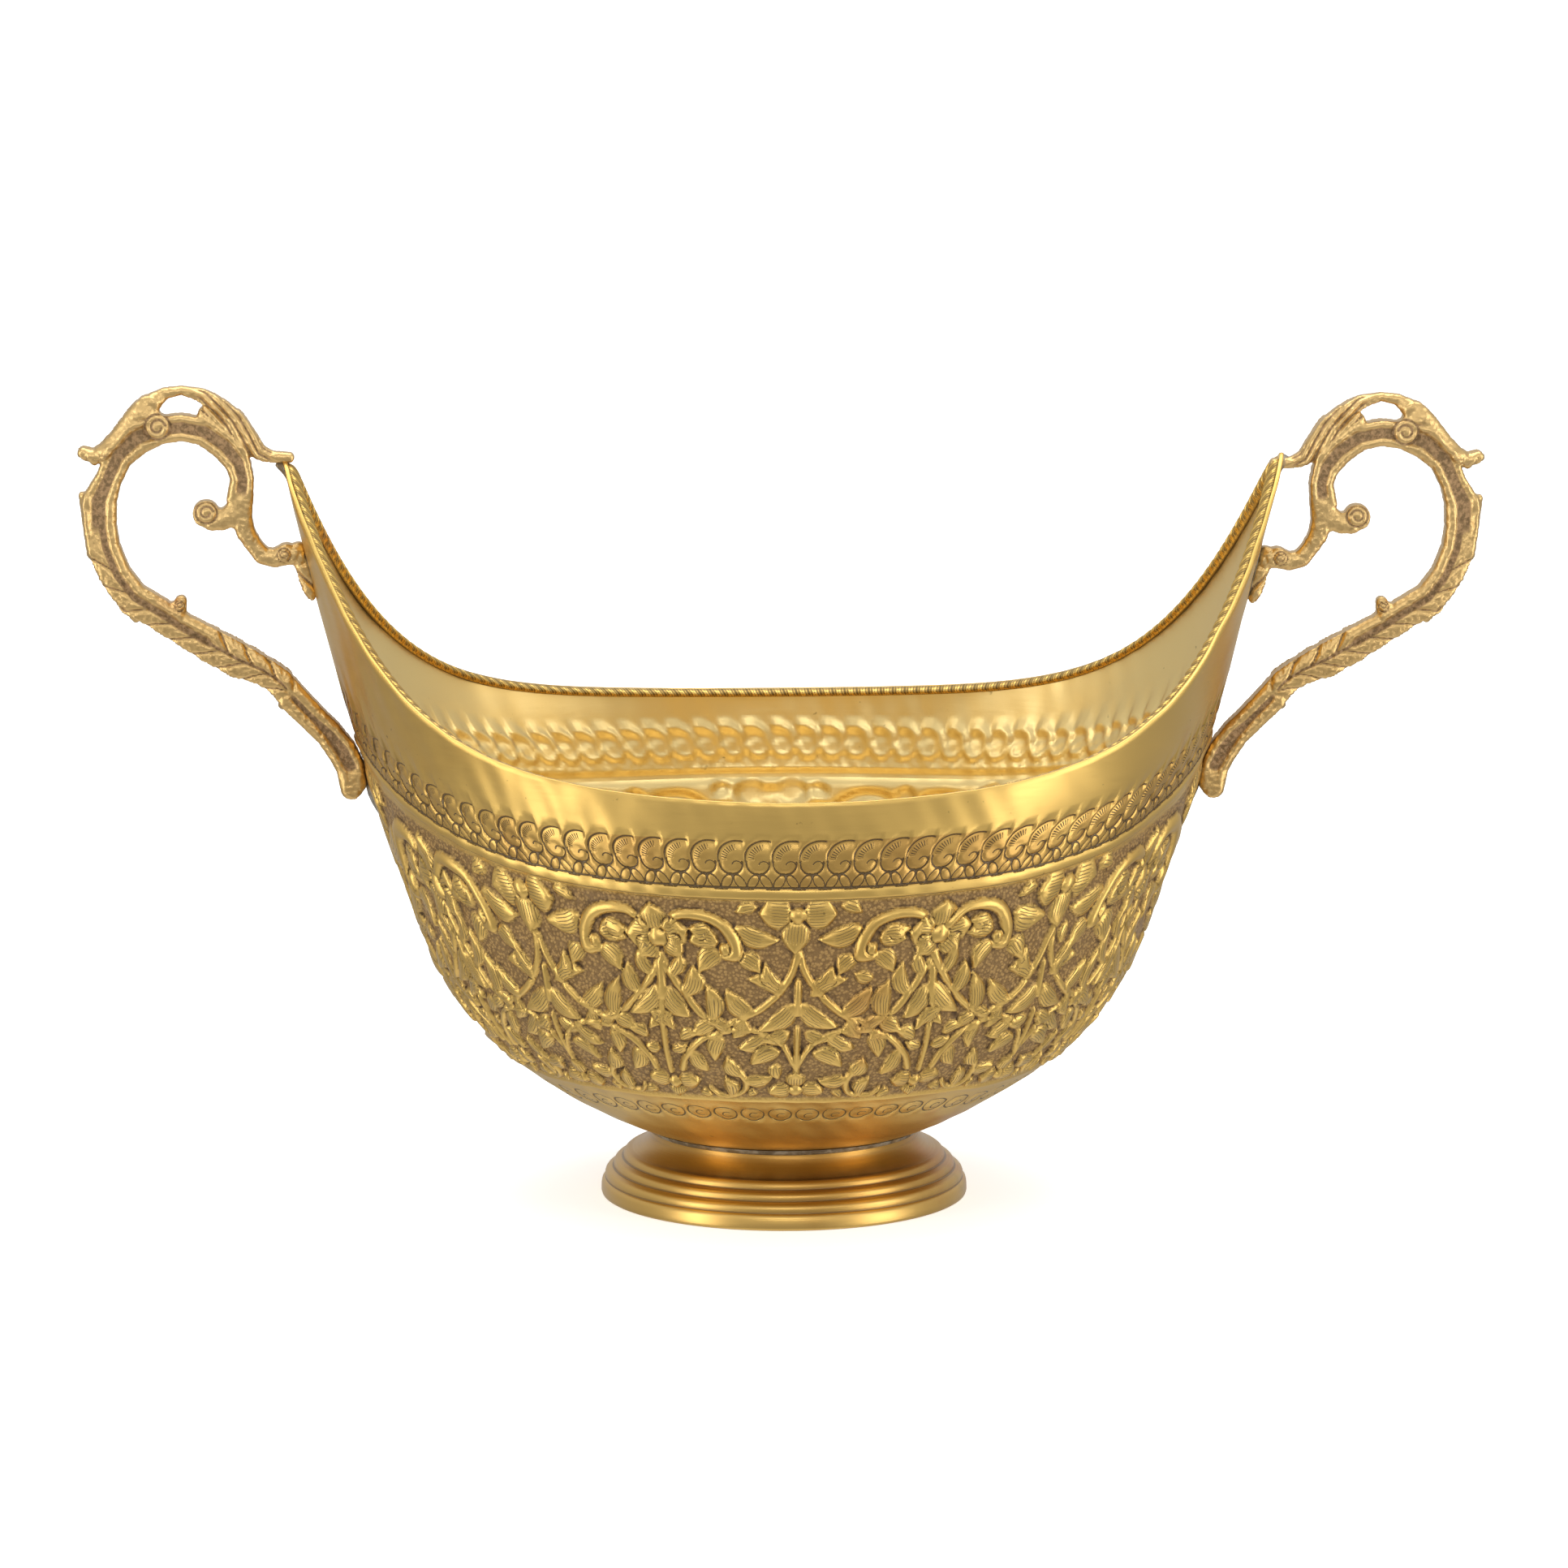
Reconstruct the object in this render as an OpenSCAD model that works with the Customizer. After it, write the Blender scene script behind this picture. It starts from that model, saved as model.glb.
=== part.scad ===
// Footed oval bowl with two upswept pointed ends, a roped rim and two scroll handles.
// Origin: centre of the foot's base. +X runs along the bowl's length, +Z is up.

/* [Bowl] */
// Length of the mouth between its two pointed ends
mouth_l = 268; // [262:1:274]
// Width of the mouth at its middle
mouth_w = 182; // [176:1:188]
// Height of the pointed ends of the rim
tip_h = 201; // [196:1:206]
// Height of the rim at the middle of its long sides
mid_h = 123; // [118:1:128]
// Thickness of the beaten sheet
sheet_t = 1.2; // [0.9:0.1:1.6]

/* [Rim wire] */
// Height of the strip inside the mouth
wire_h = 3.2; // [2.6:0.1:3.8]
// Thickness of the strip
wire_t = 2.2; // [1.6:0.1:2.8]

/* [Foot] */
// Outer radius of the foot's base band
foot_r = 49.5; // [48.5:0.5:51]
// Height of the plain band at the base
foot_band_h = 4.2; // [3.6:0.1:4.6]
// Thickness of the foot's wall
foot_t = 2.4; // [1.8:0.1:3]

/* [Handles] */
// Thickness of the cast handles, across the bowl
handle_t = 8; // [6:0.5:10]
// Width of the rounded edge on each face of a handle
handle_edge = 1; // [0.5:0.1:1.4]
// Width of the leaf-shaped pad that meets the bowl
pad_w = 10; // [8:0.5:12]

/* [Fineness] */
// Segments around the bowl
around = 96; // [64:4:112]
// Rows between two sections of the bowl
rows_per_section = 3; // [2:1:3]

/* [Hidden] */

brass = "#b8965a";
cast_brass = "#a9874a";
foot_brass = "#ad8b50";
solder_grey = "#8b8676";

// The bowl's sections from its base to its mouth at the nominal size:
// [half length, height at the ends, half width, height at the middle,
//  roundness of the ends, steepness of the upsweep, share of the steep part]
neck = 1;
sections = [
  [10, 15, 10, 15, 1, 2, 1],
  [36.5, 19, 36.5, 19, 1, 2, 1],
  [61, 30.5, 53, 30, 1, 3, 1],
  [78, 44, 69, 43.5, 1, 4, 1],
  [91.5, 61, 79, 60, 1.02, 4, 0.9],
  [101, 84, 86, 79, 1.1, 5, 0.85],
  [115.5, 127, 90, 100, 1.3, 5.5, 0.83],
  [129, 180, 91, 117, 1.4, 5.8, 0.82],
  [134, 201, 91, 123, 1.43, 5.9, 0.82]
];
mouth = len(sections) - 1;
nominal = sections[mouth];

// Stretch of the nominal bowl, growing from the neck to the mouth
grow = [mouth_l / 2 - nominal[0], tip_h - nominal[1], mouth_w / 2 - nominal[2], mid_h - nominal[3]];

// Side wire: how far the strip reaches down, as a share of the last section
wire_span = wire_h / (nominal[3] - sections[mouth - 1][3]);
wire_tip_t = wire_t * 1.4;

function held(i) = sections[max(0, min(mouth, i))];
function spline(a, b, c, d, f) =
  b + 0.5 * f * (c - a + f * (2 * a - 5 * b + 4 * c - d + f * (3 * (b - c) + d - a)));
function nominal_section(v) =
  let (i = min(mouth - 1, floor(v)))
  spline(held(i - 1), held(i), held(i + 1), held(i + 2), v - i);
function growth(v) = max(0, v - neck) / (mouth - neck);
function section(v) = nominal_section(v) + growth(v) * [grow[0], grow[1], grow[2], grow[3], 0, 0, 0];

// The same section moved inwards by a distance: square to the wall, but level at the mouth
function square_in(p, d, t) =
  let (e = [d[0], d[1]] / norm([d[0], d[1]]), m = [d[2], d[3]] / norm([d[2], d[3]]))
  p + t * [-e[1], e[0], -m[1], m[0], 0, 0, 0];
function inner_section(v, t) =
  v >= mouth ? section(v) - t * [1, 0, 1, 0, 0, 0, 0]
             : square_in(section(v), section(v + 0.01) - section(max(0, v - 0.01)), t);

// Point of a section at an angle around the bowl
function skin(p, a) =
  let (c = cos(a), s = sin(a), lift = (1 - p[6]) * c * c + p[6] * pow(abs(c), p[5]))
  [p[0] * c, p[2] * sign(s) * pow(abs(s), p[4]), p[3] + (p[1] - p[3]) * lift];
function ring(p) = [for (i = [0 : around - 1]) skin(p, i * 360 / around)];

// Triangles between rows of points; closed rows join their last point to their first
function band(row, next, n, closed = true) =
  [for (i = [0 : n - (closed ? 1 : 2)])
    let (j = (i + 1) % n)
    each [[row + i, row + j, next + j], [row + i, next + j, next + i]]];
function reversed(list) = [for (i = [len(list) - 1 : -1 : 0]) list[i]];

// Heights at which the shell has rows: every section, and one under the rim wire
row_places = concat([for (i = [0 : mouth * rows_per_section - 1]) i / rows_per_section],
                    [mouth - wire_span, mouth]);

module bowl_shell() {
  rows = len(row_places);
  outer = [for (v = row_places) each ring(section(v))];
  inner = [for (v = row_places) each ring(inner_section(v, sheet_t))];
  inner_start = rows * around;
  rim = (rows - 1) * around;
  walls = [for (r = [0 : rows - 2]) each band(r * around, (r + 1) * around, around)];
  linings = [for (f = walls) reversed([for (k = f) k + inner_start])];
  floor_out = [reversed([for (i = [0 : around - 1]) i])];
  floor_in = [[for (i = [0 : around - 1]) inner_start + i]];
  edge = band(rim, inner_start + rim, around);
  color(brass)
    polyhedron(concat(outer, inner),
               [for (f = concat(walls, linings, floor_out, floor_in, edge)) reversed(f)], 4);
}

// Solid through a row of closed outlines that each have the same even number of points.
// Points k and n - 1 - k of an outline lie across from each other.
module loft(outlines) {
  n = len(outlines[0]);
  last = len(outlines) - 1;
  function ladder(first) =
    [for (k = [0 : n / 2 - 2])
      let (a = first + k, b = first + n - 1 - k)
      each [[a, a + 1, b - 1], [a, b - 1, b]]];
  sides = [for (i = [0 : last - 1]) each band(i * n, (i + 1) * n, n)];
  start = [for (f = ladder(0)) reversed(f)];
  finish = ladder(last * n);
  polyhedron([for (o = outlines) each o], concat(sides, start, finish), 4);
}

// Half-round strip from tip to tip inside the mouth; side is 1 for the far side, -1 for the near one
module rim_wire(side) {
  steps = around / 2;
  low = inner_section(mouth - wire_span, sheet_t);
  high = inner_section(mouth, sheet_t);
  // Each corner: [share of the way down, share of the thickness]
  corners = [[0, 0], [0.08, 0.72], [0.35, 1], [0.7, 1], [0.95, 0.7], [1, 0]];
  profile = [for (c = corners) high + (low - high) * c[0] - c[1] * [wire_tip_t, 0, wire_t, 0, 0, 0, 0]];
  route = side > 0 ? [0 : steps] : [-steps : 0];
  color(brass)
    loft([for (i = route) [for (p = profile) skin(p, i * 180 / steps)]]);
}
module rim_wire_front() { rim_wire(-1); }
module rim_wire_back() { rim_wire(1); }

// The foot's three beads above its plain band: [radius to the bead's crown, height]
beads = [[48.3, 6.2], [46.4, 9.2], [44.2, 12]];
bead_r = 1.6;
neck_r = sections[neck][0];
neck_z = sections[neck][1];
// Part of the bowl's base that the foot's lip lies under
lip = [for (v = [0.86, 0.93, neck]) [section(v)[0], section(v)[1]]];

module foot() {
  outer_wall = [[foot_r, 0], [foot_r, foot_band_h], [47.6, foot_band_h + 0.4], [46.6, 7.8], [44.6, 10.6],
                [42.6, 12.6], [40, 14.4], [38, 16], [neck_r, 17.6]];
  inner_wall = [[lip[0][0], 16.4], [37.4 - foot_t, 14.6], [41.4 - foot_t, 12.2], [45 - foot_t, 8],
                [foot_r - 1.6 * foot_t, foot_band_h], [foot_r - 1.6 * foot_t, 0]];
  color(foot_brass)
    rotate_extrude($fn = 128)
      union() {
        polygon(concat(outer_wall, reversed(lip), inner_wall));
        for (b = beads) {
          translate([b[0] - bead_r, b[1]])
            circle(bead_r, $fn = 32);
        }
      }
}

// Handle skeletons at the nominal size: [outwards, up, half width]
main_bar = [
  [144, 185, 1.75], [145.5, 189.5, 2.75], [145, 195, 2.25], [146, 199.5, 2.75], [149, 204.5, 3.25],
  [154.5, 209, 3.5], [160.5, 210, 3.25], [166.5, 209.5, 3.5], [172.5, 208, 4.25], [177.5, 202.5, 3.5],
  [180, 196, 3], [182.5, 190, 4.75], [182.5, 183.5, 4.25], [181.5, 177.5, 4], [178.5, 170, 3.75],
  [174, 164, 3.75], [167.5, 160, 3.75], [161.5, 155.5, 3.5], [154, 151, 4], [146, 147, 4.25],
  [139.5, 144.5, 3], [135, 141, 3.25], [131, 136, 3.5], [126, 131.5, 3.25], [122, 127, 3.25],
  [118.8, 122.5, 3.5], [116.3, 117.5, 3.25], [114.3, 112.5, 2.75], [113.2, 110, 1.75]
];
arch = [
  [134.6, 201, 1], [137, 201.5, 1.5], [140, 203.5, 2], [143, 208, 2.25], [146.5, 212.5, 2.5],
  [150.5, 215.5, 2.25], [155, 218.5, 1.75], [160.5, 219.5, 1.25], [165, 218.5, 1.5], [169.5, 215.5, 3],
  [173, 211.5, 3], [176.5, 207, 2.75], [180, 204, 2.25], [183.5, 202, 1.5], [186.5, 203.5, 0.75]
];
web = [[149.5, 210, 3.75], [146.5, 204.5, 3.25], [143, 203.5, 1.75]];
curl = [[146, 185, 2.25], [150, 184, 1.75], [154, 186, 3.5], [155.5, 188, 3], [150.5, 190.5, 1]];
stem = [[145, 184, 2], [143.5, 179.5, 1.75], [141.5, 176, 2.25], [138.5, 174, 2], [134, 175, 3], [130.5, 174.5, 2]];
corner_spur = [[174.5, 163, 3.5], [173, 158, 0.8]];
inner_spur = [[162, 157, 3], [161.5, 163.5, 0.8]];
outer_spur = [[183, 190, 4], [187.6, 191, 0.6]];
eye = [[157, 215, 1.5], [160.5, 216, 2.5], [164, 216.2, 1.5]];

// A bar that follows a list of [outwards, up, half width]
module bar(points) {
  for (i = [1 : len(points) - 1]) {
    hull() {
      for (p = [points[i - 1], points[i]]) {
        translate([p[0], p[1]])
          circle(p[2], $fn = 20);
      }
    }
  }
}

module handle_outline() {
  difference() {
    union() {
      for (points = [main_bar, arch, web, curl, stem, corner_spur, inner_spur, outer_spur]) {
        bar(points);
      }
    }
    bar(eye);
  }
}

// Flat plate of the handle's outline, standing in the bowl's long middle plane
module handle_layer(thickness, narrower) {
  rotate([90, 0, 0])
    linear_extrude(thickness, center = true)
      offset(delta = -narrower)
        handle_outline();
}

// Leaf-shaped pad that lies along the bowl's end: [outwards, up], half width, half thickness
pad_ends = [[125.9, 165], [129.2, 178]];
pad_t = 1.2;
module pad() {
  hull() {
    for (p = pad_ends) {
      translate([p[0] + pad_t, 0, p[1]])
        cube([2 * pad_t, pad_w * (p == pad_ends[0] ? 0.55 : 1), 1], center = true);
    }
  }
}

// The right-hand handle; the left-hand one is its mirror image
module handle() {
  color(cast_brass)
    translate([grow[0], 0, grow[1]])
      union() {
        handle_layer(handle_t - 2 * handle_edge, 0);
        handle_layer(handle_t, handle_edge * 0.6);
        pad();
      }
}
module handle_right() { handle(); }
module handle_left() { mirror([1, 0, 0]) handle(); }

// Blob of solder on the outside of the bowl's right-hand end, thickest in its middle
module solder_blob(v_low, v_high, half_angle, depth) {
  up = 6;
  across = 8;
  thin = 0.15;
  function swell(i, j) = thin + depth * sin(180 * i / up) * sin(180 * j / across);
  function place(i, j) = skin(section(v_low + (v_high - v_low) * i / up), half_angle * (2 * j / across - 1));
  color(solder_grey)
    loft([for (i = [0 : up])
      concat([for (j = [0 : across]) place(i, j)],
             [for (j = [across : -1 : 0]) place(i, j) + [swell(i, j), 0, 0]])]);
}

module solder_tip() { solder_blob(mouth - 0.28, mouth - 0.02, 6, 2); }
module solder_pad() { solder_blob(mouth - 1.35, mouth - 1.05, 6, 0.3); }
module solder_tail() { solder_blob(mouth - 2.5, mouth - 2.22, 5, 1.5); }
module solder_tip_right() { solder_tip(); }
module solder_tip_left() { mirror([1, 0, 0]) solder_tip(); }
module solder_pad_right() { solder_pad(); }
module solder_pad_left() { mirror([1, 0, 0]) solder_pad(); }
module solder_tail_right() { solder_tail(); }
module solder_tail_left() { mirror([1, 0, 0]) solder_tail(); }

// Fillet of solder in the corner between the foot's neck and the bowl
module solder_foot_seam() {
  color(solder_grey)
    rotate_extrude($fn = 128)
      polygon([[neck_r, 17.9], [neck_r + 0.8, 18.4], [neck_r + 1.4, neck_z + 0.3], [neck_r, neck_z - 0.02]]);
}

bowl_shell();
rim_wire_front();
rim_wire_back();
foot();
handle_left();
handle_right();
solder_tip_left();
solder_tip_right();
solder_pad_left();
solder_pad_right();
solder_tail_left();
solder_tail_right();
solder_foot_seam();
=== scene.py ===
# %% [markdown]
# # A footed brass bowl with scroll handles
# The bowl is raised from one sheet of brass and chased from the outside. Two strips of rope
# are soldered inside its mouth, a turned foot carries it, and two cast handles finish its ends.
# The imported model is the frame: every piece below is built around it, in metres.

# %% The frame
import math

import bmesh
import bpy
import numpy as np
from mathutils import Matrix, Vector, noise


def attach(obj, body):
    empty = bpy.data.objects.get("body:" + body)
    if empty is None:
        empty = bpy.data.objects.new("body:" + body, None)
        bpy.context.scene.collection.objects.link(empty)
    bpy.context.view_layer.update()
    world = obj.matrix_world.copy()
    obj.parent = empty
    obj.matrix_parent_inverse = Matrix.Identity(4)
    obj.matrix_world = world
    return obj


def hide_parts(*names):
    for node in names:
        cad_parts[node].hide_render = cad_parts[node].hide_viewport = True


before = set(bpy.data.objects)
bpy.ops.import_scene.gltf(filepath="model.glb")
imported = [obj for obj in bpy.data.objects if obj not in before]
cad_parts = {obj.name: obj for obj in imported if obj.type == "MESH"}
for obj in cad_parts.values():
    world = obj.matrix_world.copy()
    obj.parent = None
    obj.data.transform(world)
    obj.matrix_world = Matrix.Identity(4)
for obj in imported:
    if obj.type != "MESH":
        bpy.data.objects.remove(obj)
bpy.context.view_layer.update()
MM = 0.001

# %% [markdown]
# ## Camera, floor and light
# A long lens far away keeps the bowl's oval calm. It looks down by about thirteen degrees,
# and the bowl is turned a little, so its right-hand end goes away from the camera.

# %% Camera
VIEW_DISTANCE = 2.3
VIEW_DROP = math.radians(12.8)
VIEW_TURN = math.radians(2.5)
AIM = Vector((0, 0, 0.112))
LENS = 199.4


def settle(name, data):
    """Object of a mesh, a light or a camera, in the scene."""
    piece = bpy.data.objects.new(name, data)
    bpy.context.scene.collection.objects.link(piece)
    return piece


def look_at(piece, aim):
    piece.rotation_euler = (Vector(aim) - piece.location).to_track_quat("-Z", "Y").to_euler()


def put_camera():
    data = bpy.data.cameras.new("camera")
    data.lens = LENS
    data.clip_end = 50
    camera = settle("camera", data)
    camera.location = AIM + Vector((
        -VIEW_DISTANCE * math.sin(VIEW_TURN),
        -VIEW_DISTANCE * math.cos(VIEW_TURN),
        VIEW_DISTANCE * math.tan(VIEW_DROP) - AIM.z))
    look_at(camera, AIM)
    bpy.context.scene.camera = camera
    return camera


camera = put_camera()
print("camera at", [round(v, 3) for v in camera.location])

# %% [markdown]
# ## Writing shaders as sums
# A wrapped socket lets a finish be written as arithmetic. Each operator adds one Math node,
# and `node` adds any other node from its type, its settings and its inputs.

# %% The socket class
class Sock:
    """A shader socket that can be used in sums."""

    def __init__(self, tree, socket):
        self.tree, self.socket = tree, socket

    def math(self, operation, *others):
        made = self.tree.nodes.new("ShaderNodeMath")
        made.operation = operation
        for place, value in enumerate((self,) + others):
            plug(self.tree, made.inputs[place], value)
        return Sock(self.tree, made.outputs[0])

    def __add__(self, other):
        return self.math("ADD", other)

    def __sub__(self, other):
        return self.math("SUBTRACT", other)

    def __mul__(self, other):
        return self.math("MULTIPLY", other)

    def __truediv__(self, other):
        return self.math("DIVIDE", other)

    def __rsub__(self, other):
        return (self * -1.0).math("ADD", other)

    __radd__ = __add__
    __rmul__ = __mul__

    def rise(self, low, high):
        """0 below low, 1 above high, smooth between; low may be above high."""
        flip = low > high
        made = self.tree.nodes.new("ShaderNodeMapRange")
        made.interpolation_type = "SMOOTHSTEP"
        plug(self.tree, made.inputs["Value"], self)
        made.inputs["From Min"].default_value = min(low, high)
        made.inputs["From Max"].default_value = max(low, high)
        made.inputs["To Min"].default_value = 1.0 if flip else 0.0
        made.inputs["To Max"].default_value = 0.0 if flip else 1.0
        return Sock(self.tree, made.outputs[0])

    def either(self, other):
        return self.math("MAXIMUM", other)

    def size(self):
        return self.math("ABSOLUTE")


def plug(tree, socket, value):
    if isinstance(value, Sock):
        tree.links.new(value.socket, socket)
    elif hasattr(value, "__len__") and len(value) == 3 and socket.type == "RGBA":
        socket.default_value = (*value, 1.0)
    else:
        socket.default_value = value


class Finish:
    """One material: its tree, its Principled shader and a way to add nodes."""

    def __init__(self, name):
        self.material = bpy.data.materials.new(name)
        self.material.use_nodes = True
        self.tree = self.material.node_tree
        self.shader = next(n for n in self.tree.nodes if n.type == "BSDF_PRINCIPLED")

    def node(self, kind, settings=None, output=0, **inputs):
        made = self.tree.nodes.new(kind)
        for key, value in (settings or {}).items():
            setattr(made, key, value)
        for key, value in inputs.items():
            key = int(key[1:]) if key[0] == "_" else key.replace("_", " ")
            plug(self.tree, made.inputs[key], value)
        return Sock(self.tree, made.outputs[output])

    def place(self):
        return self.node("ShaderNodeTexCoord", output="Object")

    def attribute(self, name, output="Fac"):
        return self.node("ShaderNodeAttribute", {"attribute_name": name}, output=output)

    def noise(self, scale, detail=3.0, rough=0.5, where=None, stretch=None):
        """Noise over the object, scale in waves a metre."""
        where = where or self.place()
        if stretch:
            where = self.node("ShaderNodeMapping", Vector=where, Scale=stretch)
        return self.node("ShaderNodeTexNoise", Vector=where, Scale=scale, Detail=detail, Roughness=rough)

    def mix(self, share, first, second):
        made = self.tree.nodes.new("ShaderNodeMix")
        made.data_type = "RGBA"
        plug(self.tree, made.inputs[0], share)
        plug(self.tree, made.inputs[6], first)
        plug(self.tree, made.inputs[7], second)
        return Sock(self.tree, made.outputs[2])

    def clouded(self, tone, colour, share, low, high, *grain, **where):
        """Lays a colour over the tone, by a share, wherever noise rises from low to high."""
        return self.mix(self.noise(*grain, **where).rise(low, high) * share, tone, colour)

    def bump(self, height, distance, strength=1.0, normal=None):
        inputs = {"Height": height, "Distance": distance, "Strength": strength}
        if normal is not None:
            inputs["Normal"] = normal
        return self.node("ShaderNodeBump", **inputs)

    def finish(self, **values):
        for key, value in values.items():
            plug(self.tree, self.shader.inputs[key.replace("_", " ")], value)
        return self.material


print("shader helpers ready")

# %% [markdown]
# ## Floor and lights
# A wide pale floor and large soft panels. Brass shows mostly what surrounds it, so the panels
# stand far to both sides, where they draw long soft lights on the curved walls. The room is
# brightest right underneath, darkest a little above that, and grows lighter towards the top.

# %% Floor and lights
FLOOR_HALF = 8
FLOOR_WHITE = (0.9, 0.9, 0.9)
FLOOR_GLOW = 0.5
# The room's radiance, from straight below (0) to straight above (1)
ROOM = [(0.0, 1.1), (0.2, 0.4), (0.42, 0.54), (0.9, 0.8)]
# Name, place, width, height and radiance
PANELS = [("left panel", (-1.75, -1.05, 0.05), 0.62, 2.3, 3.6),
          ("right panel", (1.75, -1.0, 0.05), 0.7, 2.3, 3.4),
          ("top panel", (0.0, 0.2, 2.1), 1.9, 1.3, 3.2),
          ("front panel", (0.0, -2.5, 1.15), 1.5, 0.55, 3.4)]


def mesh_from(bm, name):
    mesh = bpy.data.meshes.new(name)
    bm.to_mesh(mesh)
    bm.free()
    return mesh


def put_floor():
    bm = bmesh.new()
    bmesh.ops.create_grid(bm, x_segments=1, y_segments=1, size=FLOOR_HALF)
    floor = settle("floor", mesh_from(bm, "floor"))
    finish = Finish("floor")
    floor.data.materials.append(finish.finish(Base_Color=FLOOR_WHITE, Roughness=0.9,
                                              Emission_Color=(1, 1, 1), Emission_Strength=FLOOR_GLOW))
    floor.visible_glossy = False
    floor.visible_shadow = False


def put_panel(name, place, width, height, radiance, aim=(0, 0, 0.1)):
    data = bpy.data.lights.new(name, "AREA")
    data.shape = "RECTANGLE"
    data.size, data.size_y = width, height
    data.energy = radiance * math.pi * width * height
    panel = settle(name, data)
    panel.location = place
    look_at(panel, aim)


def put_room(shades):
    world = bpy.data.worlds.new("room")
    bpy.context.scene.world = world
    world.use_nodes = True
    tree = world.node_tree
    back = next(n for n in tree.nodes if n.type == "BACKGROUND")
    where = tree.nodes.new("ShaderNodeTexCoord")
    split = tree.nodes.new("ShaderNodeSeparateXYZ")
    ramp = tree.nodes.new("ShaderNodeValToRGB")
    tree.links.new(where.outputs["Generated"], split.inputs[0])
    up = Sock(tree, split.outputs[2]) * 0.5 + 0.5
    tree.links.new(up.socket, ramp.inputs[0])
    stops = ramp.color_ramp.elements
    for stop, (height, grey) in zip(stops[:], (shades[0], shades[-1])):
        stop.position, stop.color = height, (grey, grey, grey, 1)
    for height, grey in shades[1:-1]:
        stops.new(height).color = (grey, grey, grey, 1)
    tree.links.new(ramp.outputs[0], back.inputs[0])


put_floor()
put_room(ROOM)
for panel in PANELS:
    put_panel(*panel)
bpy.context.scene.view_settings.view_transform = "Standard"
print("stage ready")

# %% [markdown]
# ## The bowl's shape
# The sections are those of the CAD shell: half length, height at the ends, half width, height
# at the middle, roundness of the ends, steepness of the upsweep and share of the steep part.
# A spline runs through them from the base to the mouth.

# %% Sections
SECTIONS = np.array([
    (10, 15, 10, 15, 1, 2, 1),
    (36.5, 19, 36.5, 19, 1, 2, 1),
    (61, 30.5, 53, 30, 1, 3, 1),
    (78, 44, 69, 43.5, 1, 4, 1),
    (91.5, 61, 79, 60, 1.02, 4, 0.9),
    (101, 84, 86, 79, 1.1, 5, 0.85),
    (115.5, 127, 90, 100, 1.3, 5.5, 0.83),
    (129, 180, 91, 117, 1.4, 5.8, 0.82),
    (134, 201, 91, 123, 1.43, 5.9, 0.82)])
MOUTH = len(SECTIONS) - 1
SHEET = 1.2


def section(v):
    """Section at v (an array): the spline through the four nearest ones."""
    v = np.asarray(v, float)
    i = np.clip(np.floor(v).astype(int), 0, MOUTH - 1)
    f = (v - i)[..., None]
    a, b, c, d = (SECTIONS[np.clip(i + k, 0, MOUTH)] for k in (-1, 0, 1, 2))
    return b + 0.5 * f * (c - a + f * (2 * a - 5 * b + 4 * c - d + f * (3 * (b - c) + d - a)))


def skin(p, turn):
    """Point in mm of a section at a turn measured from the middle of the near side."""
    c, s = np.sin(turn), -np.cos(turn)
    lift = (1 - p[..., 6]) * c ** 2 + p[..., 6] * np.abs(c) ** p[..., 5]
    return np.stack([p[..., 0] * c, p[..., 2] * np.sign(s) * np.abs(s) ** p[..., 4],
                     p[..., 3] + (p[..., 1] - p[..., 3]) * lift], -1)


def wall(v, turn):
    return skin(section(v), turn)


def wall_normal(v, turn):
    """Outward unit normal of the wall."""
    e = 1e-3
    along = wall(v, turn + e) - wall(v, turn - e)
    up = wall(np.minimum(v + e, MOUTH), turn) - wall(np.maximum(v - e, 0), turn)
    n = np.cross(along, up)
    return n / np.maximum(np.linalg.norm(n, axis=-1, keepdims=True), 1e-12)


def levelled(normal):
    """Level unit direction of a normal."""
    level = normal * (1, 1, 0)
    return level / np.maximum(np.linalg.norm(level, axis=-1, keepdims=True), 1e-6)


# %% [markdown]
# Ornament is laid out by length along the border between the flowers and the stamped band, so
# its motifs stay evenly spaced, as a craftsman steps them off with dividers.

# %% Length along the border
BORDER = 5.98
FINE_TURNS = 20001
_turns = np.linspace(-math.pi, math.pi, FINE_TURNS)
_points = wall(np.full_like(_turns, BORDER), _turns)
_steps = np.linalg.norm(np.diff(_points, axis=0), axis=1)
_length = np.concatenate([[0], np.cumsum(_steps)])
AROUND = _length[-1]


def border_length(turn):
    """Length in mm from the middle of the near side, positive to the right."""
    turn = (turn + math.pi) % (2 * math.pi) - math.pi
    return np.interp(turn, _turns, _length) - AROUND / 2


def border_turn(length):
    return np.interp(length + AROUND / 2, _length, _turns)


print("border is %.0f mm around" % AROUND)

# %% [markdown]
# ## Drawing the flowers
# The chaser draws the pattern flat before the sheet is worked, and so does this cell: motifs
# are laid on a strip as long as the border, and the strip later lifts the wall. Each motif is
# laid as a low dome that keeps its highest metal, with a chased line around it.

# %% The drawing strip
STRIP_STEP = 0.2
STRIP_LOW, STRIP_HIGH = -1.0, 68.0
# Leaves are laid this much wider than drawn, in shares and in mm
LEAF_FULLER, LEAF_EDGE = 1.3, 0.15
# Value across a stem or a knob, too far out for veins
NO_VEIN = 9


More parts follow.
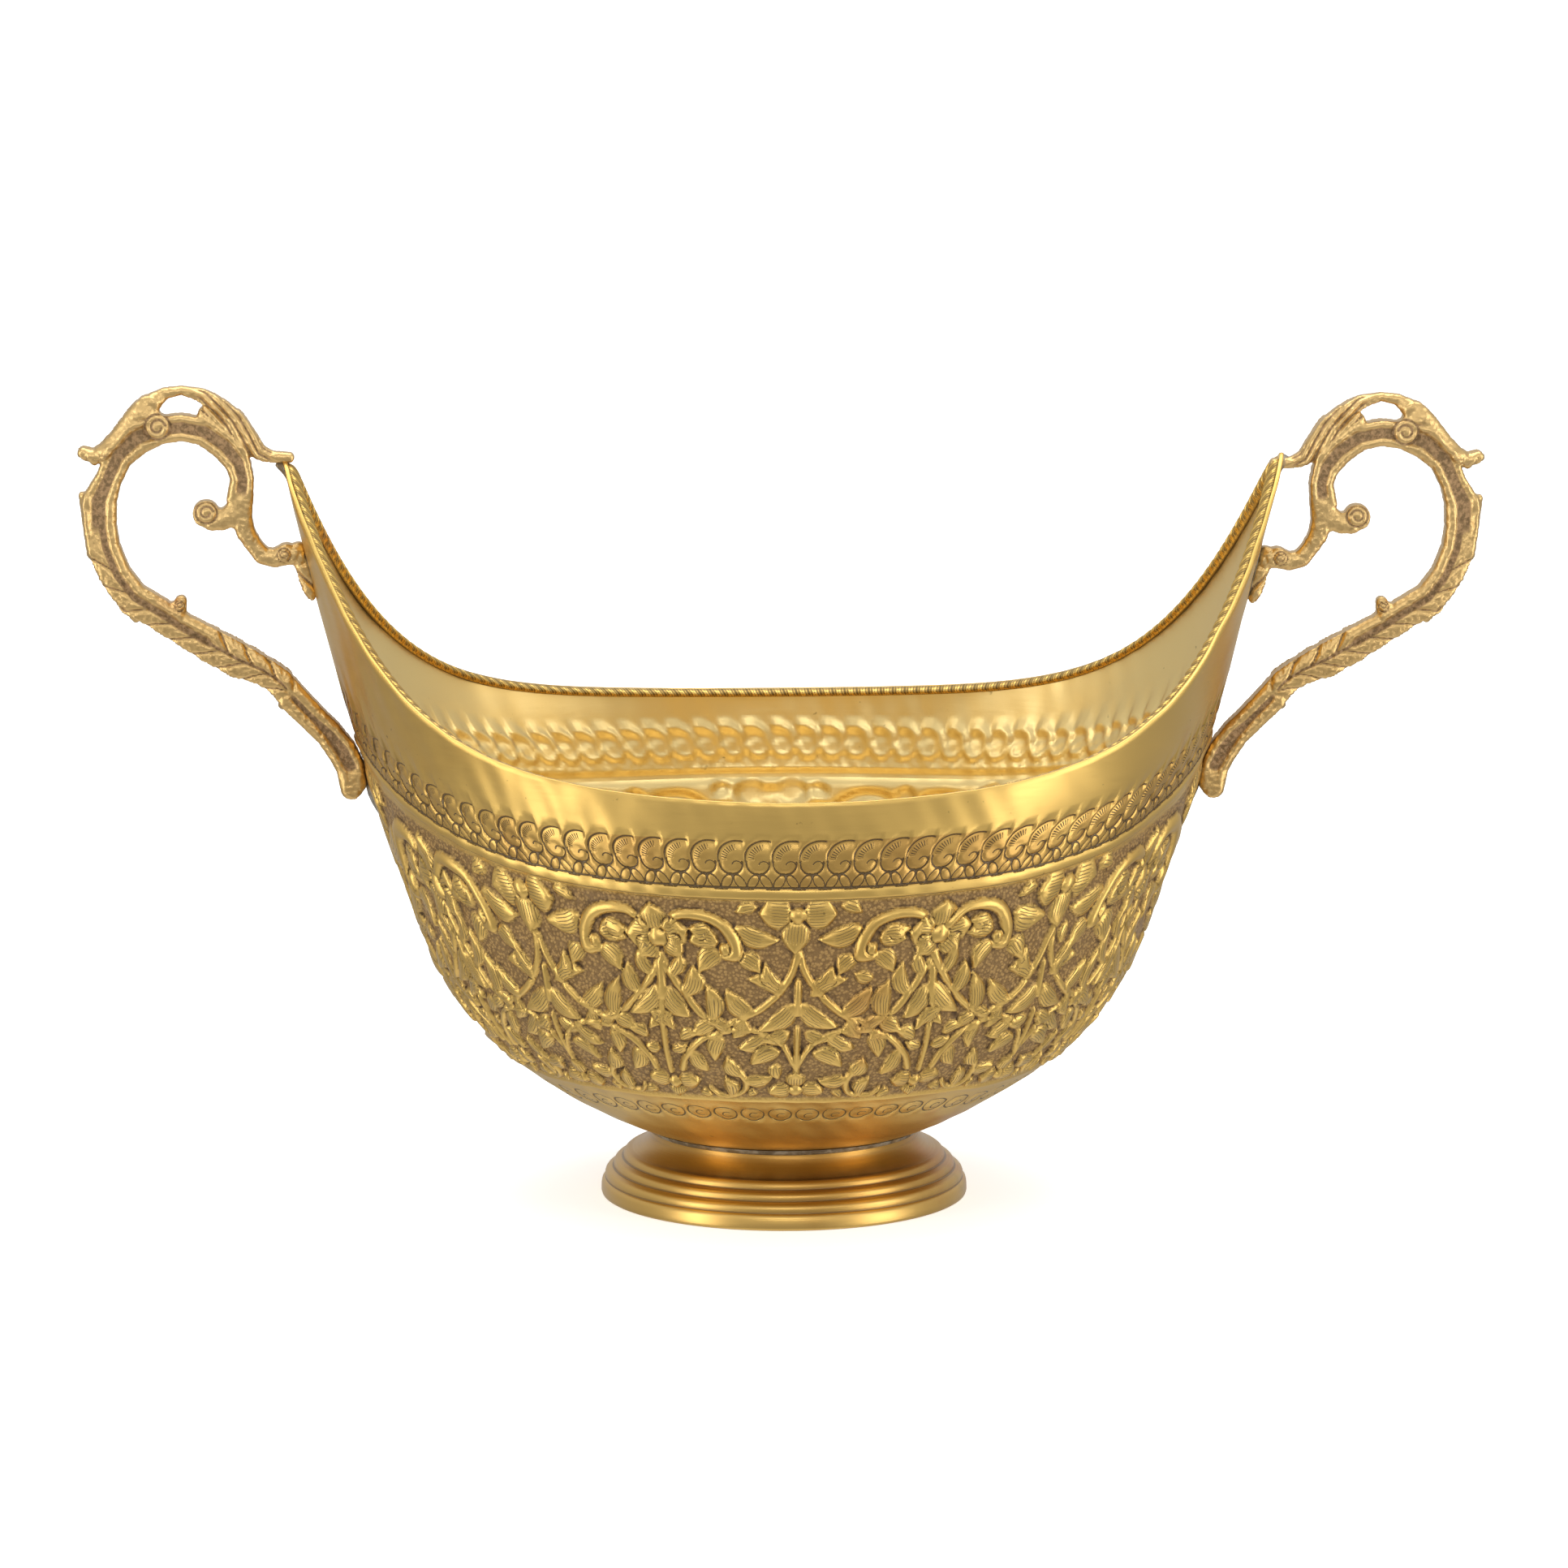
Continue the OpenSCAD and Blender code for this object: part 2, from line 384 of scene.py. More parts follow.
class Strip:
    """Heights of the relief, with each leaf's own coordinates for its veins."""

    def __init__(self, length, step):
        self.columns = int(round(length / step))
        self.step = length / self.columns
        self.rows = int(round((STRIP_HIGH - STRIP_LOW) / step))
        shape = (self.rows, self.columns)
        self.height = np.zeros(shape)
        self.across = np.zeros(shape)
        self.along = np.zeros(shape)

    def window(self, x0, x1, y0, y1):
        i = np.arange(int(x0 / self.step) - 1, int(x1 / self.step) + 2)
        j = np.arange(max(0, int((y0 - STRIP_LOW) / self.step) - 1),
                      min(self.rows, int((y1 - STRIP_LOW) / self.step) + 2))
        x, y = np.meshgrid(i * self.step, STRIP_LOW + j * self.step)
        return np.ix_(j, i % self.columns), x, y

    def chase(self, place, dome, depth=0.85):
        """Sinks a line round the motif: dome is 1 in its middle and 0 on its outline."""
        ring = np.clip(1 + dome / 0.7, 0, 1) * (dome < 0)
        self.height[place] *= 1 - depth * ring

    def lay(self, place, height, across, along):
        new = height > self.height[place]
        for layer, value in ((self.height, height), (self.across, across), (self.along, along)):
            layer[place] = np.where(new, value, layer[place])

    def leaf(self, base, tip, width, bend=0.0, rise=1.0, belly=0.8, point=0.75):
        """Leaf from base to tip; bend moves its middle sideways by a share of its length."""
        bx, by = base
        dx, dy = tip[0] - bx, tip[1] - by
        long = math.hypot(dx, dy)
        ux, uy = dx / long, dy / long
        reach = width + abs(bend) * long + 1.2
        place, x, y = self.window(min(bx, tip[0]) - reach, max(bx, tip[0]) + reach,
                                  min(by, tip[1]) - reach, max(by, tip[1]) + reach)
        along = ((x - bx) * ux + (y - by) * uy) / long
        inner = np.clip(along, 0.001, 0.999)
        across = -(x - bx) * uy + (y - by) * ux - 4 * bend * long * inner * (1 - inner)
        half = (width * LEAF_FULLER + LEAF_EDGE) * np.sin(math.pi * inner ** belly) ** point
        over = np.maximum(np.abs(along - 0.5) - 0.5, 0) * long / 0.6
        dome = 1 - (across / np.maximum(half, 0.12)) ** 2 - over
        self.chase(place, dome)
        shape = np.clip(dome, 0, 1) ** 0.45 * (0.8 + 0.2 * inner)
        self.lay(place, rise * shape * (dome > 0), across, inner)

    def vine(self, points, first, last, rise=0.85):
        """Stem through the points, its half width going from first to last."""
        path = curve_through(points, 12)
        radii = np.linspace(first, last, len(path))
        for chase in (True, False):
            for a, b, r in zip(path[:-1], path[1:], radii):
                place, x, y = self.window(min(a[0], b[0]) - r - 1, max(a[0], b[0]) + r + 1,
                                          min(a[1], b[1]) - r - 1, max(a[1], b[1]) + r + 1)
                d = b - a
                t = np.clip(((x - a[0]) * d[0] + (y - a[1]) * d[1]) / max(d @ d, 1e-9), 0, 1)
                gap = np.hypot(x - a[0] - t * d[0], y - a[1] - t * d[1])
                dome = 1 - (gap / r) ** 2
                if chase:
                    self.chase(place, dome, 0.25)
                else:
                    self.lay(place, rise * np.clip(dome, 0, 1) ** 0.5, NO_VEIN, 0)

    def knob(self, centre, radius, rise=1.0):
        place, x, y = self.window(centre[0] - radius - 1, centre[0] + radius + 1,
                                  centre[1] - radius - 1, centre[1] + radius + 1)
        dome = 1 - ((x - centre[0]) ** 2 + (y - centre[1]) ** 2) / radius ** 2
        self.chase(place, dome, 0.8)
        self.lay(place, rise * np.clip(dome, 0, 1) ** 0.5, NO_VEIN, 0)


def curve_through(points, steps):
    """Smooth curve through points, as an array of points."""
    p = np.array(points, float)
    p = np.vstack([2 * p[0] - p[1], p, 2 * p[-1] - p[-2]])
    f = np.linspace(0, 1, steps, endpoint=False)[:, None]
    out = [b + 0.5 * f * (c - a + f * (2 * a - 5 * b + 4 * c - d + f * (3 * (b - c) + d - a)))
           for a, b, c, d in zip(p[:-3], p[1:-2], p[2:-1], p[3:])]
    return np.vstack(out + [p[-2:-1]])


# %% [markdown]
# ## One repeat of the pattern
# Under the border, a hanging flower of three petals takes turns with a full flower of five.
# Between them hang garlands, with a big scroll on each shoulder of the full flower, and
# below them a row of arches ends in smaller flowers. The pattern is the same on both sides of
# each flower, so one half is listed, in mm from the hanging flower's middle and from the
# line under the flowers, and every leaf of every repeat is then moved a little.
# Small leaves at any angle take up the ground that is still bare.

# %% Motifs of half a repeat
REPEATS = 8
FLOWER_GAP = AROUND / (2 * REPEATS)
# Distance between two flowers in the lists below
GAP_DRAWN = 40.5
GARLAND = [(0, 52), (2.5, 44.5), (8.5, 36.5), (15.5, 31.5), (21.5, 29.5), (27.5, 32), (34, 39),
           (38.5, 46), (40.5, 50)]
SCROLL = [(38, 58.5), (33.5, 62), (27, 62.5), (21.5, 60), (18.5, 55.5), (18, 51), (20.5, 51.5)]
ARCH = [(36, 13), (34, 17.5), (29.5, 23), (23.5, 26.5), (17, 27.5), (9.5, 26), (4, 22), (0.5, 15)]
LOW_CURL = [(28, 5), (25.5, 2.5), (21.5, 2), (17.5, 4), (16, 8), (17.5, 12)]
# Leaves on the half repeat: base, tip, half width, bend
LEAVES = [
    ((4, 39), (14.5, 43.5), 2.2, 0.15), ((13, 32.5), (21, 40.5), 2.2, -0.12),
    ((25, 30), (27, 43), 2.2, 0.12), ((33, 38), (30.5, 48), 2.2, 0.15),
    ((24.5, 29.5), (31, 26), 2.0, 0.1), ((15, 31), (19.5, 24.5), 2.0, -0.15),
    ((6, 41.5), (9.5, 48.5), 1.8, -0.15), ((37.5, 44), (34.5, 52), 1.6, 0.12),
    ((0.5, 36), (11.5, 28.5), 2.5, -0.12), ((40, 41), (31.5, 31), 2.7, 0.12),
    ((17.5, 59), (5.5, 56), 2.4, 0.12), ((23, 55.5), (31.5, 54.5), 2.6, 0.15),
    ((22, 51.5), (27.5, 45), 2.4, 0.15), ((16.5, 50.5), (10.5, 45.5), 2.2, -0.15),
    ((25, 58.5), (31, 58), 1.7, -0.1), ((11.5, 65.5), (17, 63.5), 1.4, 0.1),
    ((31.5, 19.5), (27.5, 12), 2.2, 0.15), ((22.5, 25.5), (24.5, 17.5), 2.1, 0.12),
    ((9, 25.5), (17.5, 20.5), 2.2, -0.12), ((5, 20), (14.5, 14.5), 2.2, 0.1),
    ((19.5, 26.5), (26, 31), 1.6, 0.1), ((2, 26.5), (10, 23.8), 1.8, -0.1),
    ((16.5, 9), (7.5, 10.5), 2.1, 0.15), ((17.5, 11), (20.5, 17.5), 2.2, -0.15),
    ((21.5, 2.5), (23, 10.5), 2.0, 0.15), ((12.5, 4), (15.5, 1.5), 1.4, 0.1),
    ((35.5, 24), (29.5, 27), 1.8, -0.12), ((37, 33), (44.5, 27.5), 1.7, 0.1),
    ((32.5, 3), (27.5, 2), 1.5, -0.1), ((38.5, 20), (33.5, 22.5), 1.5, 0.1)]
# Petals on a flower's own axis: angle, length, half width
HANGING = [(0, 10.5, 3.4), (180, 10.5, 3.4), (-90, 11, 2.9)]
FULL = [(90, 9.5, 3.1), (12, 9.2, 3.1), (168, 9.2, 3.1), (-38, 8, 2.5), (218, 8, 2.5)]
LOW_HANGING = [(10, 9, 2.5), (170, 9, 2.5), (-90, 6, 2.4)]
LOW_RISING = [(0, 9, 2.5), (180, 9, 2.5), (90, 8, 2.3)]

FILL_TRIES = 6000
hand = np.random.default_rng(12)


def shaken(point, by=0.45):
    return (point[0] + hand.normal() * by, point[1] + hand.normal() * by)


def lay_flower(strip, centre, petals, heart):
    turn = hand.normal() * 4
    for angle, long, width in petals:
        a = math.radians(angle + turn + hand.normal() * 3)
        start = (centre[0] + math.cos(a) * heart * 0.6, centre[1] + math.sin(a) * heart * 0.6)
        tip = (centre[0] + math.cos(a) * long, centre[1] + math.sin(a) * long)
        strip.leaf(start, tip, width * 1.05, hand.normal() * 0.03, 1.05, belly=0.9, point=0.7)
    strip.knob(centre, heart, 1.25)


def lay_half(strip, middle, side):
    def at(point):
        return (middle + side * point[0] * FLOWER_GAP / GAP_DRAWN, point[1])

    strip.vine([shaken(at(p), 0.25) for p in GARLAND], 1.2, 1.3)
    strip.vine([shaken(at(p), 0.2) for p in ARCH], 1.3, 0.9)
    strip.vine([shaken(at(p), 0.2) for p in LOW_CURL], 0.9, 1.3)
    for base, tip, width, bend in LEAVES:
        strip.leaf(shaken(at(base), 0.25), shaken(at(tip)), width * (1 + 0.06 * hand.normal()),
                   side * bend, 0.95 + 0.08 * hand.normal())
    strip.vine([shaken(at(p), 0.2) for p in SCROLL], 1.3, 2.3, 1.1)
    strip.knob(at((21, 53)), 1.7, 1.15)


def fill_ground(strip, tries):
    """Small leaves wherever the ground is still bare; returns how many found room."""
    laid = 0
    along, aside = np.meshgrid(np.linspace(-0.12, 1.12, 6), (-1.5, 0, 1.5))
    for _ in range(tries):
        x, y = hand.random() * AROUND, 2 + 62 * hand.random()
        turn, long, width = 2 * math.pi * hand.random(), 5 + 3 * hand.random(), 1.5 + 0.4 * hand.random()
        c, s = math.cos(turn), math.sin(turn)
        px, py = x + c * long * along - s * aside, y + s * long * along + c * aside
        if py.min() < 0.5 or py.max() > 66.5:
            continue
        i = (px / strip.step).astype(int) % strip.columns
        j = ((py - STRIP_LOW) / strip.step).astype(int)
        if strip.height[j, i].max() < 0.12:
            strip.leaf((x, y), (x + c * long, y + s * long), width, 0.12 * np.sign(s), 0.85)
            laid += 1
    return laid


def draw_flowers():
    strip = Strip(AROUND, STRIP_STEP)
    for k in range(REPEATS):
        hanging = 2 * k * FLOWER_GAP
        full = hanging + FLOWER_GAP
        for side in (1, -1):
            lay_half(strip, hanging, side)
        strip.vine([(hanging, 43), (hanging, 33)], 1.0, 1.3)
        strip.vine([(full, 50), (full, 38)], 1.0, 1.8)
        strip.vine([(hanging, 28), (hanging, 12)], 0.9, 1.1)
        strip.vine([(full, 36), (full, 12)], 1.1, 1.0)
        lay_flower(strip, shaken((hanging, 62.8), 0.3), HANGING, 2.3)
        lay_flower(strip, shaken((full, 55.2), 0.3), FULL, 2.6)
        lay_flower(strip, shaken((hanging, 4.8), 0.3), LOW_RISING, 2.2)
        lay_flower(strip, shaken((full, 7.5), 0.3), LOW_HANGING, 2.2)
    print(fill_ground(strip, FILL_TRIES), "small leaves fill the ground")
    return strip


flowers = draw_flowers()
print("flowers cover %.0f%% of the strip" % (100 * (flowers.height > 0.2).mean()))

# %% [markdown]
# ## Where each mark falls on the wall
# Rows of the wall run from the middle of the base, up the outside, over the rim and down the
# inside to the middle again. The stamped band keeps its width all the way round, so its rows
# follow the border at fixed distances, and the plain brass above it takes what is left.

# %% Rows up the wall
BAND_HIGH = 13.5
FLOWERS_LOW, FLOWERS_HIGH = 2.7, 5.86
CURLS = 2.28


def smooth(x, low, high):
    t = np.clip((x - low) / (high - low), 0, 1)
    return t * t * (3 - 2 * t)


def hump(x, middle, width, power=2):
    """1 at the middle, falling off on both sides; a higher power has a flatter top."""
    return np.exp(-((x - middle) / width) ** power)


def climb(turn, first, last, steps=240):
    """Lengths up the wall from one section to another, for an array of turns."""
    v = np.linspace(first, last, steps)
    p = wall(v[:, None], turn[None, :])
    gaps = np.linalg.norm(np.diff(p, axis=0), axis=2)
    return v, np.vstack([np.zeros(len(turn)), np.cumsum(gaps, axis=0)])


def above(level, v, turn):
    """Length in mm up the wall from a level, one value per row and column."""
    sections, table = climb(turn, 0, MOUTH, 400)
    out = np.empty_like(v)
    for c in range(v.shape[1]):
        out[:, c] = np.interp(v[:, c], sections, table[:, c]) - np.interp(level, sections, table[:, c])
    return out


def level_length(level, turn):
    """Share of the way round at a level, growing with the turn."""
    turns = np.linspace(-math.pi, math.pi, 4001)
    points = wall(np.full_like(turns, level), turns)
    length = np.concatenate([[0], np.cumsum(np.linalg.norm(np.diff(points, axis=0), axis=1))])
    return np.interp(turn, turns, length) / length[-1]


# %% [markdown]
# ## Punches
# The upper band is struck with two punches: a comma with a curled foot, and under it a row of
# slanting almonds. The lower band has a small curled ring. A punch is written as signed
# distances in mm inside its own cell, positive in the metal that bulges.

# %% Punch shapes
COMMAS = int(round(AROUND / 6.75))
COMMA_PITCH = AROUND / COMMAS
CURL_COUNT = 54
CURL_PITCH = 6.6
CURL_STRETCH = 1.3
# Arcs of the comma: middle along the band, height above the border, radius
FOOT_RING = (3.2, 7.4, 2.9)
BACK_ARC = (5.15, 8.4, 5.1)
HOOK_ARC = (4.7, 6.9, 1.25)
# The almonds: half length and half width, height, and the place and slant of each in a cell
PETAL = (2.35, 1.15)
PETAL_HEIGHT = 2.5
PETAL_SLANT = math.radians(58)
PETALS = ((1.7, PETAL_SLANT), (1.7 + COMMA_PITCH / 2, math.pi - PETAL_SLANT))
CURL_RING = (3.3, 0.0, 2.75)
COMMA_DEEP, PETAL_DEEP, CURL_DEEP = 0.62, 0.22, 0.3


def dip(x, y, arc, first, last, soft):
    """Metal pressed down along an arc: soft on its inner side, sharp on its outer side."""
    dx, dy = x - arc[0], y - arc[1]
    inside = arc[2] - np.hypot(dx, dy)
    turned = (np.degrees(np.arctan2(dy, dx)) - first) % 360
    window = smooth(turned, 0, 14) * (1 - smooth(turned, last - first - 14, last - first))
    return window * np.exp(-(inside / np.where(inside > 0, soft, 0.38)) ** 2)


def petal(x, y, slant):
    """0 at a petal's outline, 1 at its middle, negative outside."""
    c, s = math.cos(slant), math.sin(slant)
    return 1 - ((x * c + y * s) / PETAL[0]) ** 2 - ((-x * s + y * c) / PETAL[1]) ** 2


def punched(cell, height):
    """Lift of the upper band in mm, at a share of a cell and a height above the border."""
    x = (cell % 1) * COMMA_PITCH
    deep = dip(x, height, BACK_ARC, 58, 195, 1.7)
    deep = np.maximum(deep, 0.9 * dip(x, height, FOOT_RING, 165, 380, 1.0))
    disc = smooth(FOOT_RING[2] - np.hypot(x - FOOT_RING[0], height - FOOT_RING[1]), 0, 1.6)
    lift = -COMMA_DEEP * np.maximum(deep, 0.35 * disc)
    for middle, slant in PETALS:
        across = (x - middle + COMMA_PITCH / 2) % COMMA_PITCH - COMMA_PITCH / 2
        leaf = petal(across, height - PETAL_HEIGHT, slant)
        lift -= PETAL_DEEP * hump(leaf, 0, 0.35)
    return lift


def curled(cell, height):
    """Lift of the lower band."""
    x = (cell % 1) * CURL_PITCH
    return -CURL_DEEP * dip(x, height, CURL_RING, 110, 400, 0.9)


# %% [markdown]
# ## Lifting the wall
# The drawing is wrapped round the bowl. Columns of the pattern fan in a little less than the
# wall does near its middle and more at its ends, as a chaser does to keep the flowers upright.

# %% Relief of the whole wall
GROUND_SINK = 0.4
FLOWER_RISE = 1.5
FAN = 0.17
middle_v, middle_table = climb(np.zeros(1), FLOWERS_LOW, FLOWERS_HIGH)
FLOWERS_TALL = 67.0
print("flower zone is %.1f mm tall" % middle_table[-1, 0])


def sample(layer, x, y, nearest=False):
    """Value of a strip's layer at lengths x and heights y."""
    i = (x / flowers.step) % flowers.columns
    j = np.clip((y - STRIP_LOW) / flowers.step, 0, flowers.rows - 1.001)
    if nearest:
        return layer[np.rint(j).astype(int), np.rint(i).astype(int) % flowers.columns]
    i0, j0 = np.floor(i).astype(int), np.floor(j).astype(int)
    fi, fj = i - i0, j - j0
    i0, i1 = i0 % flowers.columns, (i0 + 1) % flowers.columns
    return ((layer[j0, i0] * (1 - fi) + layer[j0, i1] * fi) * (1 - fj)
            + (layer[j0 + 1, i0] * (1 - fi) + layer[j0 + 1, i1] * fi) * fj)


def blurred(layer, times):
    for _ in range(times):
        layer = (2 * layer + np.roll(layer, 1, 1) + np.roll(layer, -1, 1)) / 4
        layer = (2 * layer + np.roll(layer, 1, 0) + np.roll(layer, -1, 0)) / 4
    return layer


flowers.height = blurred(flowers.height, 1)
flowers.soft = blurred(flowers.height, 12)
flowers.crease = np.clip((blurred(flowers.height, 14) - flowers.height) * 2.2, 0, 1)


def read_wall(v, turn, lap, heights):
    """Lift in mm and the finish's marks, for every row and column."""
    fan = FAN * (1 - smooth(v, FLOWERS_LOW, BORDER))
    length = border_length(turn[None, :] - fan / 2 * np.sin(2 * turn[None, :]))
    high = np.interp(v, middle_v, middle_table[:, 0] / middle_table[-1, 0] * FLOWERS_TALL)
    zone = smooth(v, FLOWERS_LOW - 0.03, FLOWERS_LOW + 0.05)
    zone *= 1 - smooth(v, FLOWERS_HIGH - 0.05, FLOWERS_HIGH + 0.02)
    height = sample(heights, length, high)
    lift = zone * (FLOWER_RISE * height - GROUND_SINK)
    over = above(BORDER, v, turn)
    lift += 0.45 * hump(over, -0.9, 1.5, 4) - 0.25 * hump(over, 1.0, 0.35)
    low = above(FLOWERS_LOW, v, turn)
    lift += 0.25 * hump(low, -1.4, 1.1, 4)
    cell = (border_length(turn) / COMMA_PITCH + lap * COMMAS)[None, :] + 0 * v
    lift += punched(cell, over) * smooth(over, 0.4, 1.2) * (1 - smooth(over, 13.5, 15))
    curl_cell = ((level_length(CURLS, turn) + lap) * CURL_COUNT)[None, :] + 0 * v
    curl_high = above(CURLS, v, turn) / CURL_STRETCH
    lift += curled(curl_cell, curl_high) * smooth(np.abs(curl_high), 4.5, 3.5)
    marks = {
        "ground": zone * (1 - smooth(height, 0.12, 0.4)),
        "crease": zone * sample(flowers.crease, length, high),
        "across": sample(flowers.across, length, high, True),
        "along": sample(flowers.along, length, high, True),
        "flower": zone,
    }
    return lift, marks, np.stack([cell, over], -1), np.stack([curl_cell, curl_high], -1)

# %% [markdown]
# ## The sheet
# The bowl is raised from one sheet. Here it is three closed rings that meet in engraved lines:
# the base, the flowered belly and the stamped collar. Each has an outside and an inside grid
# wrapped round the bowl, joined along their edges. The inside follows the outside at the
# sheet's thickness, so the chasing shows there in reverse, only softer.

# %% Mesh helpers
DENTS = [(deep, hand.random(3) * 6.28, hand.normal(size=(3, 3)) / size)
         for size, deep in ((60, 0.25), (24, 0.1), (24, 0.08))]


def dented(points):
    """Slow unevenness of hand-raised sheet, in mm."""
    flat = points.reshape(-1, 3)
    waves = np.zeros(len(flat))
    for deep, phase, way in DENTS:
        waves += deep * np.sin(flat @ way[0] * 6.28 + phase[0]) * np.sin(flat @ way[1] * 6.28 + phase[1])
    return waves.reshape(points.shape[:-1])


def store(mesh, name, values):
    layer = mesh.attributes.new(name, "FLOAT", "POINT")
    layer.data.foreach_set("value", np.ascontiguousarray(values, np.float32).ravel())


def store_uv(mesh, name, pairs):
    corner = np.empty(len(mesh.loops), np.int32)
    mesh.loops.foreach_get("vertex_index", corner)
    layer = mesh.uv_layers.new(name=name)
    layer.data.foreach_set("uv", np.ascontiguousarray(pairs[corner], np.float32).ravel())


def grid_mesh(name, columns, rows):
    """Grid with its row and column of every vertex."""
    bm = bmesh.new()
    bmesh.ops.create_grid(bm, x_segments=columns, y_segments=rows, size=1)
    mesh = mesh_from(bm, name)
    co = np.empty(len(mesh.vertices) * 3, np.float32)
    mesh.vertices.foreach_get("co", co)
    co = co.reshape(-1, 3)
    column = np.rint((co[:, 0] + 1) / 2 * columns).astype(int)
    row = np.rint((co[:, 1] + 1) / 2 * rows).astype(int)
    return mesh, row, column


def weld(mesh, gap):
    bm = bmesh.new()
    bm.from_mesh(mesh)
    bmesh.ops.remove_doubles(bm, verts=bm.verts, dist=gap)
    bm.to_mesh(mesh)
    bm.free()


def kept_shape(piece):
    """Applies a piece's modifiers."""
    depsgraph = bpy.context.evaluated_depsgraph_get()
    made = bpy.data.meshes.new_from_object(piece.evaluated_get(depsgraph), preserve_all_data_layers=True,
                                           depsgraph=depsgraph)
    piece.modifiers.clear()
    old, piece.data = piece.data, made
    bpy.data.meshes.remove(old)
    made.name = piece.name


def thinned(mesh, faces):
    """A copy of a mesh, collapsed to about a number of triangles where nothing bends."""
    now = sum(len(p.vertices) - 2 for p in mesh.polygons)
    piece = settle(mesh.name, mesh)
    thin = piece.modifiers.new("thin", "DECIMATE")
    thin.ratio = min(1.0, faces / now)
    kept_shape(piece)
    made = piece.data
    bpy.data.objects.remove(piece)
    return made


def open_loops(bm):
    """The open edges of a mesh, one list for each loop, lowest first."""
    left = {e for e in bm.edges if e.is_boundary}
    loops = []
    while left:
        chain, queue = [], [left.pop()]
        while queue:
            e = queue.pop()
            chain.append(e)
            near = [o for v in e.verts for o in v.link_edges if o in left]
            left.difference_update(near)
            queue += near
        loops.append(chain)
    return sorted(loops, key=lambda chain: sum(v.co.z for e in chain for v in e.verts) / len(chain))


# %% [markdown]
# Each ring is wrapped, thinned where needed, and closed by bridging its outside and inside.

# %% Rings of the sheet
def columns_round(count):
    """Turn of each column, from the left tip past the near side and back, and its lap."""
    lengths = -AROUND / 4 + np.linspace(0, AROUND, count + 1)
    turn = border_turn((lengths + AROUND / 2) % AROUND - AROUND / 2)
    turn[0] = turn[-1] = -math.pi / 2
    return turn, (np.arange(count + 1) >= 0.75 * count).astype(float)


def wrapped(name, points, marks, stamps, curls):
    rows, columns = points.shape[0] - 1, points.shape[1] - 1
    mesh, row, column = grid_mesh(name, columns, rows)
    mesh.vertices.foreach_set("co", np.ascontiguousarray(points[row, column] * MM, np.float32).ravel())
    for key, values in marks.items():
        store(mesh, key, values[row, column])
    store_uv(mesh, "stamps", stamps[row, column])
    store_uv(mesh, "curls", curls[row, column])
    weld(mesh, 1e-6)
    return mesh


def more_rows(first, last, marks, *cells):
    """Repeats the first row and the last row of the marks and of the punches' cells."""
    def grown(a):
        return np.concatenate([np.repeat(a[:1], first, 0), a, np.repeat(a[-1:], last, 0)])

    return {key: grown(a) for key, a in marks.items()}, *map(grown, cells)


def to_centre(points, *others):
    """Adds rows that close the base."""
    points = np.vstack([[points[0] * (q, q, 1) for q in (0, 0.5)], points])
    return points, *more_rows(2, 0, *others)


def over_edge(out, points, *others):
    """Adds rows that round the outside over the mouth's edge."""
    edge = points[-1]
    more = np.stack([edge - out * 0.15 + (0, 0, 0.14), edge - out * (SHEET * 0.55) + (0, 0, 0.2),
                     edge - out * (SHEET - 0.1) + (0, 0, 0.12)])
    return np.vstack([points, more]), *more_rows(0, len(more), *others)


def outside_mesh(name, v, turn, lap, base=False, mouth=False):
    plain, normal = wall(v, turn[None, :]), wall_normal(v, turn[None, :])
    lift, marks, stamps, curls = read_wall(v, turn, lap, flowers.height)
    marks["inside"] = 0 * v
    points = plain + normal * (lift + dented(plain) * smooth(v, 1.0, 1.6))[..., None]
    parts = points, marks, stamps, curls
    if base:
        parts = to_centre(*parts)
    if mouth:
        parts = over_edge(levelled(normal[-1]), *parts)
    return wrapped(name, *parts)


# The chasing shows inside in softer relief that never reaches through the sheet
INSIDE_MOST = 0.85


def inside_mesh(name, v, turn, lap, base=False, mouth=False):
    plain, normal = wall(v, turn[None, :]), wall_normal(v, turn[None, :])
    lift, marks, stamps, curls = read_wall(v, turn, lap, flowers.soft)
    marks = {k: 0 * a if k != "crease" else a for k, a in marks.items()}
    marks["inside"] = 0 * v + 1
    at_mouth = smooth(v, MOUTH - 0.1, MOUTH)[..., None]
    way = normal * (1 - at_mouth) + levelled(normal) * at_mouth
    lift = INSIDE_MOST * np.tanh(1.5 * lift / INSIDE_MOST)
    shift = (lift + 0.9 * dented(plain) * smooth(v, 1.0, 1.6))[..., None]
    points = plain - way * SHEET + normal * shift
    parts = points, marks, stamps, curls
    return wrapped(name, *(to_centre(*parts) if base else parts))


def ring_piece(name, rows, columns, inner_rows, inner_columns, faces=None, base=False, mouth=False):
    """Closed ring of sheet; rows are given by a function of the turns."""
    turn, lap = columns_round(columns)
    outer = outside_mesh(name + "_outer", rows(turn), turn, lap, base, mouth)
    if faces:
        outer = thinned(outer, faces)
    turn, lap = columns_round(inner_columns)
    inner = inside_mesh(name + "_inner", inner_rows(turn), turn, lap, base, mouth)
    inner.flip_normals()
    bm = bmesh.new()
    bm.from_mesh(outer)
    bm.from_mesh(inner)
    loops = open_loops(bm)
    for first, second in zip(loops[::2], loops[1::2]):
        bmesh.ops.bridge_loops(bm, edges=first + second)
        for e in first + second:
            e.smooth = mouth and first is loops[-2]
    bmesh.ops.recalc_face_normals(bm, faces=bm.faces)
    left = sum(not e.is_manifold for e in bm.edges)
    mesh = mesh_from(bm, name)
    for old in (outer, inner):
        bpy.data.meshes.remove(old)
    mesh.shade_smooth()
    print(name, len(mesh.polygons), "faces,", left, "unclosed edges")
    return settle(name, mesh)


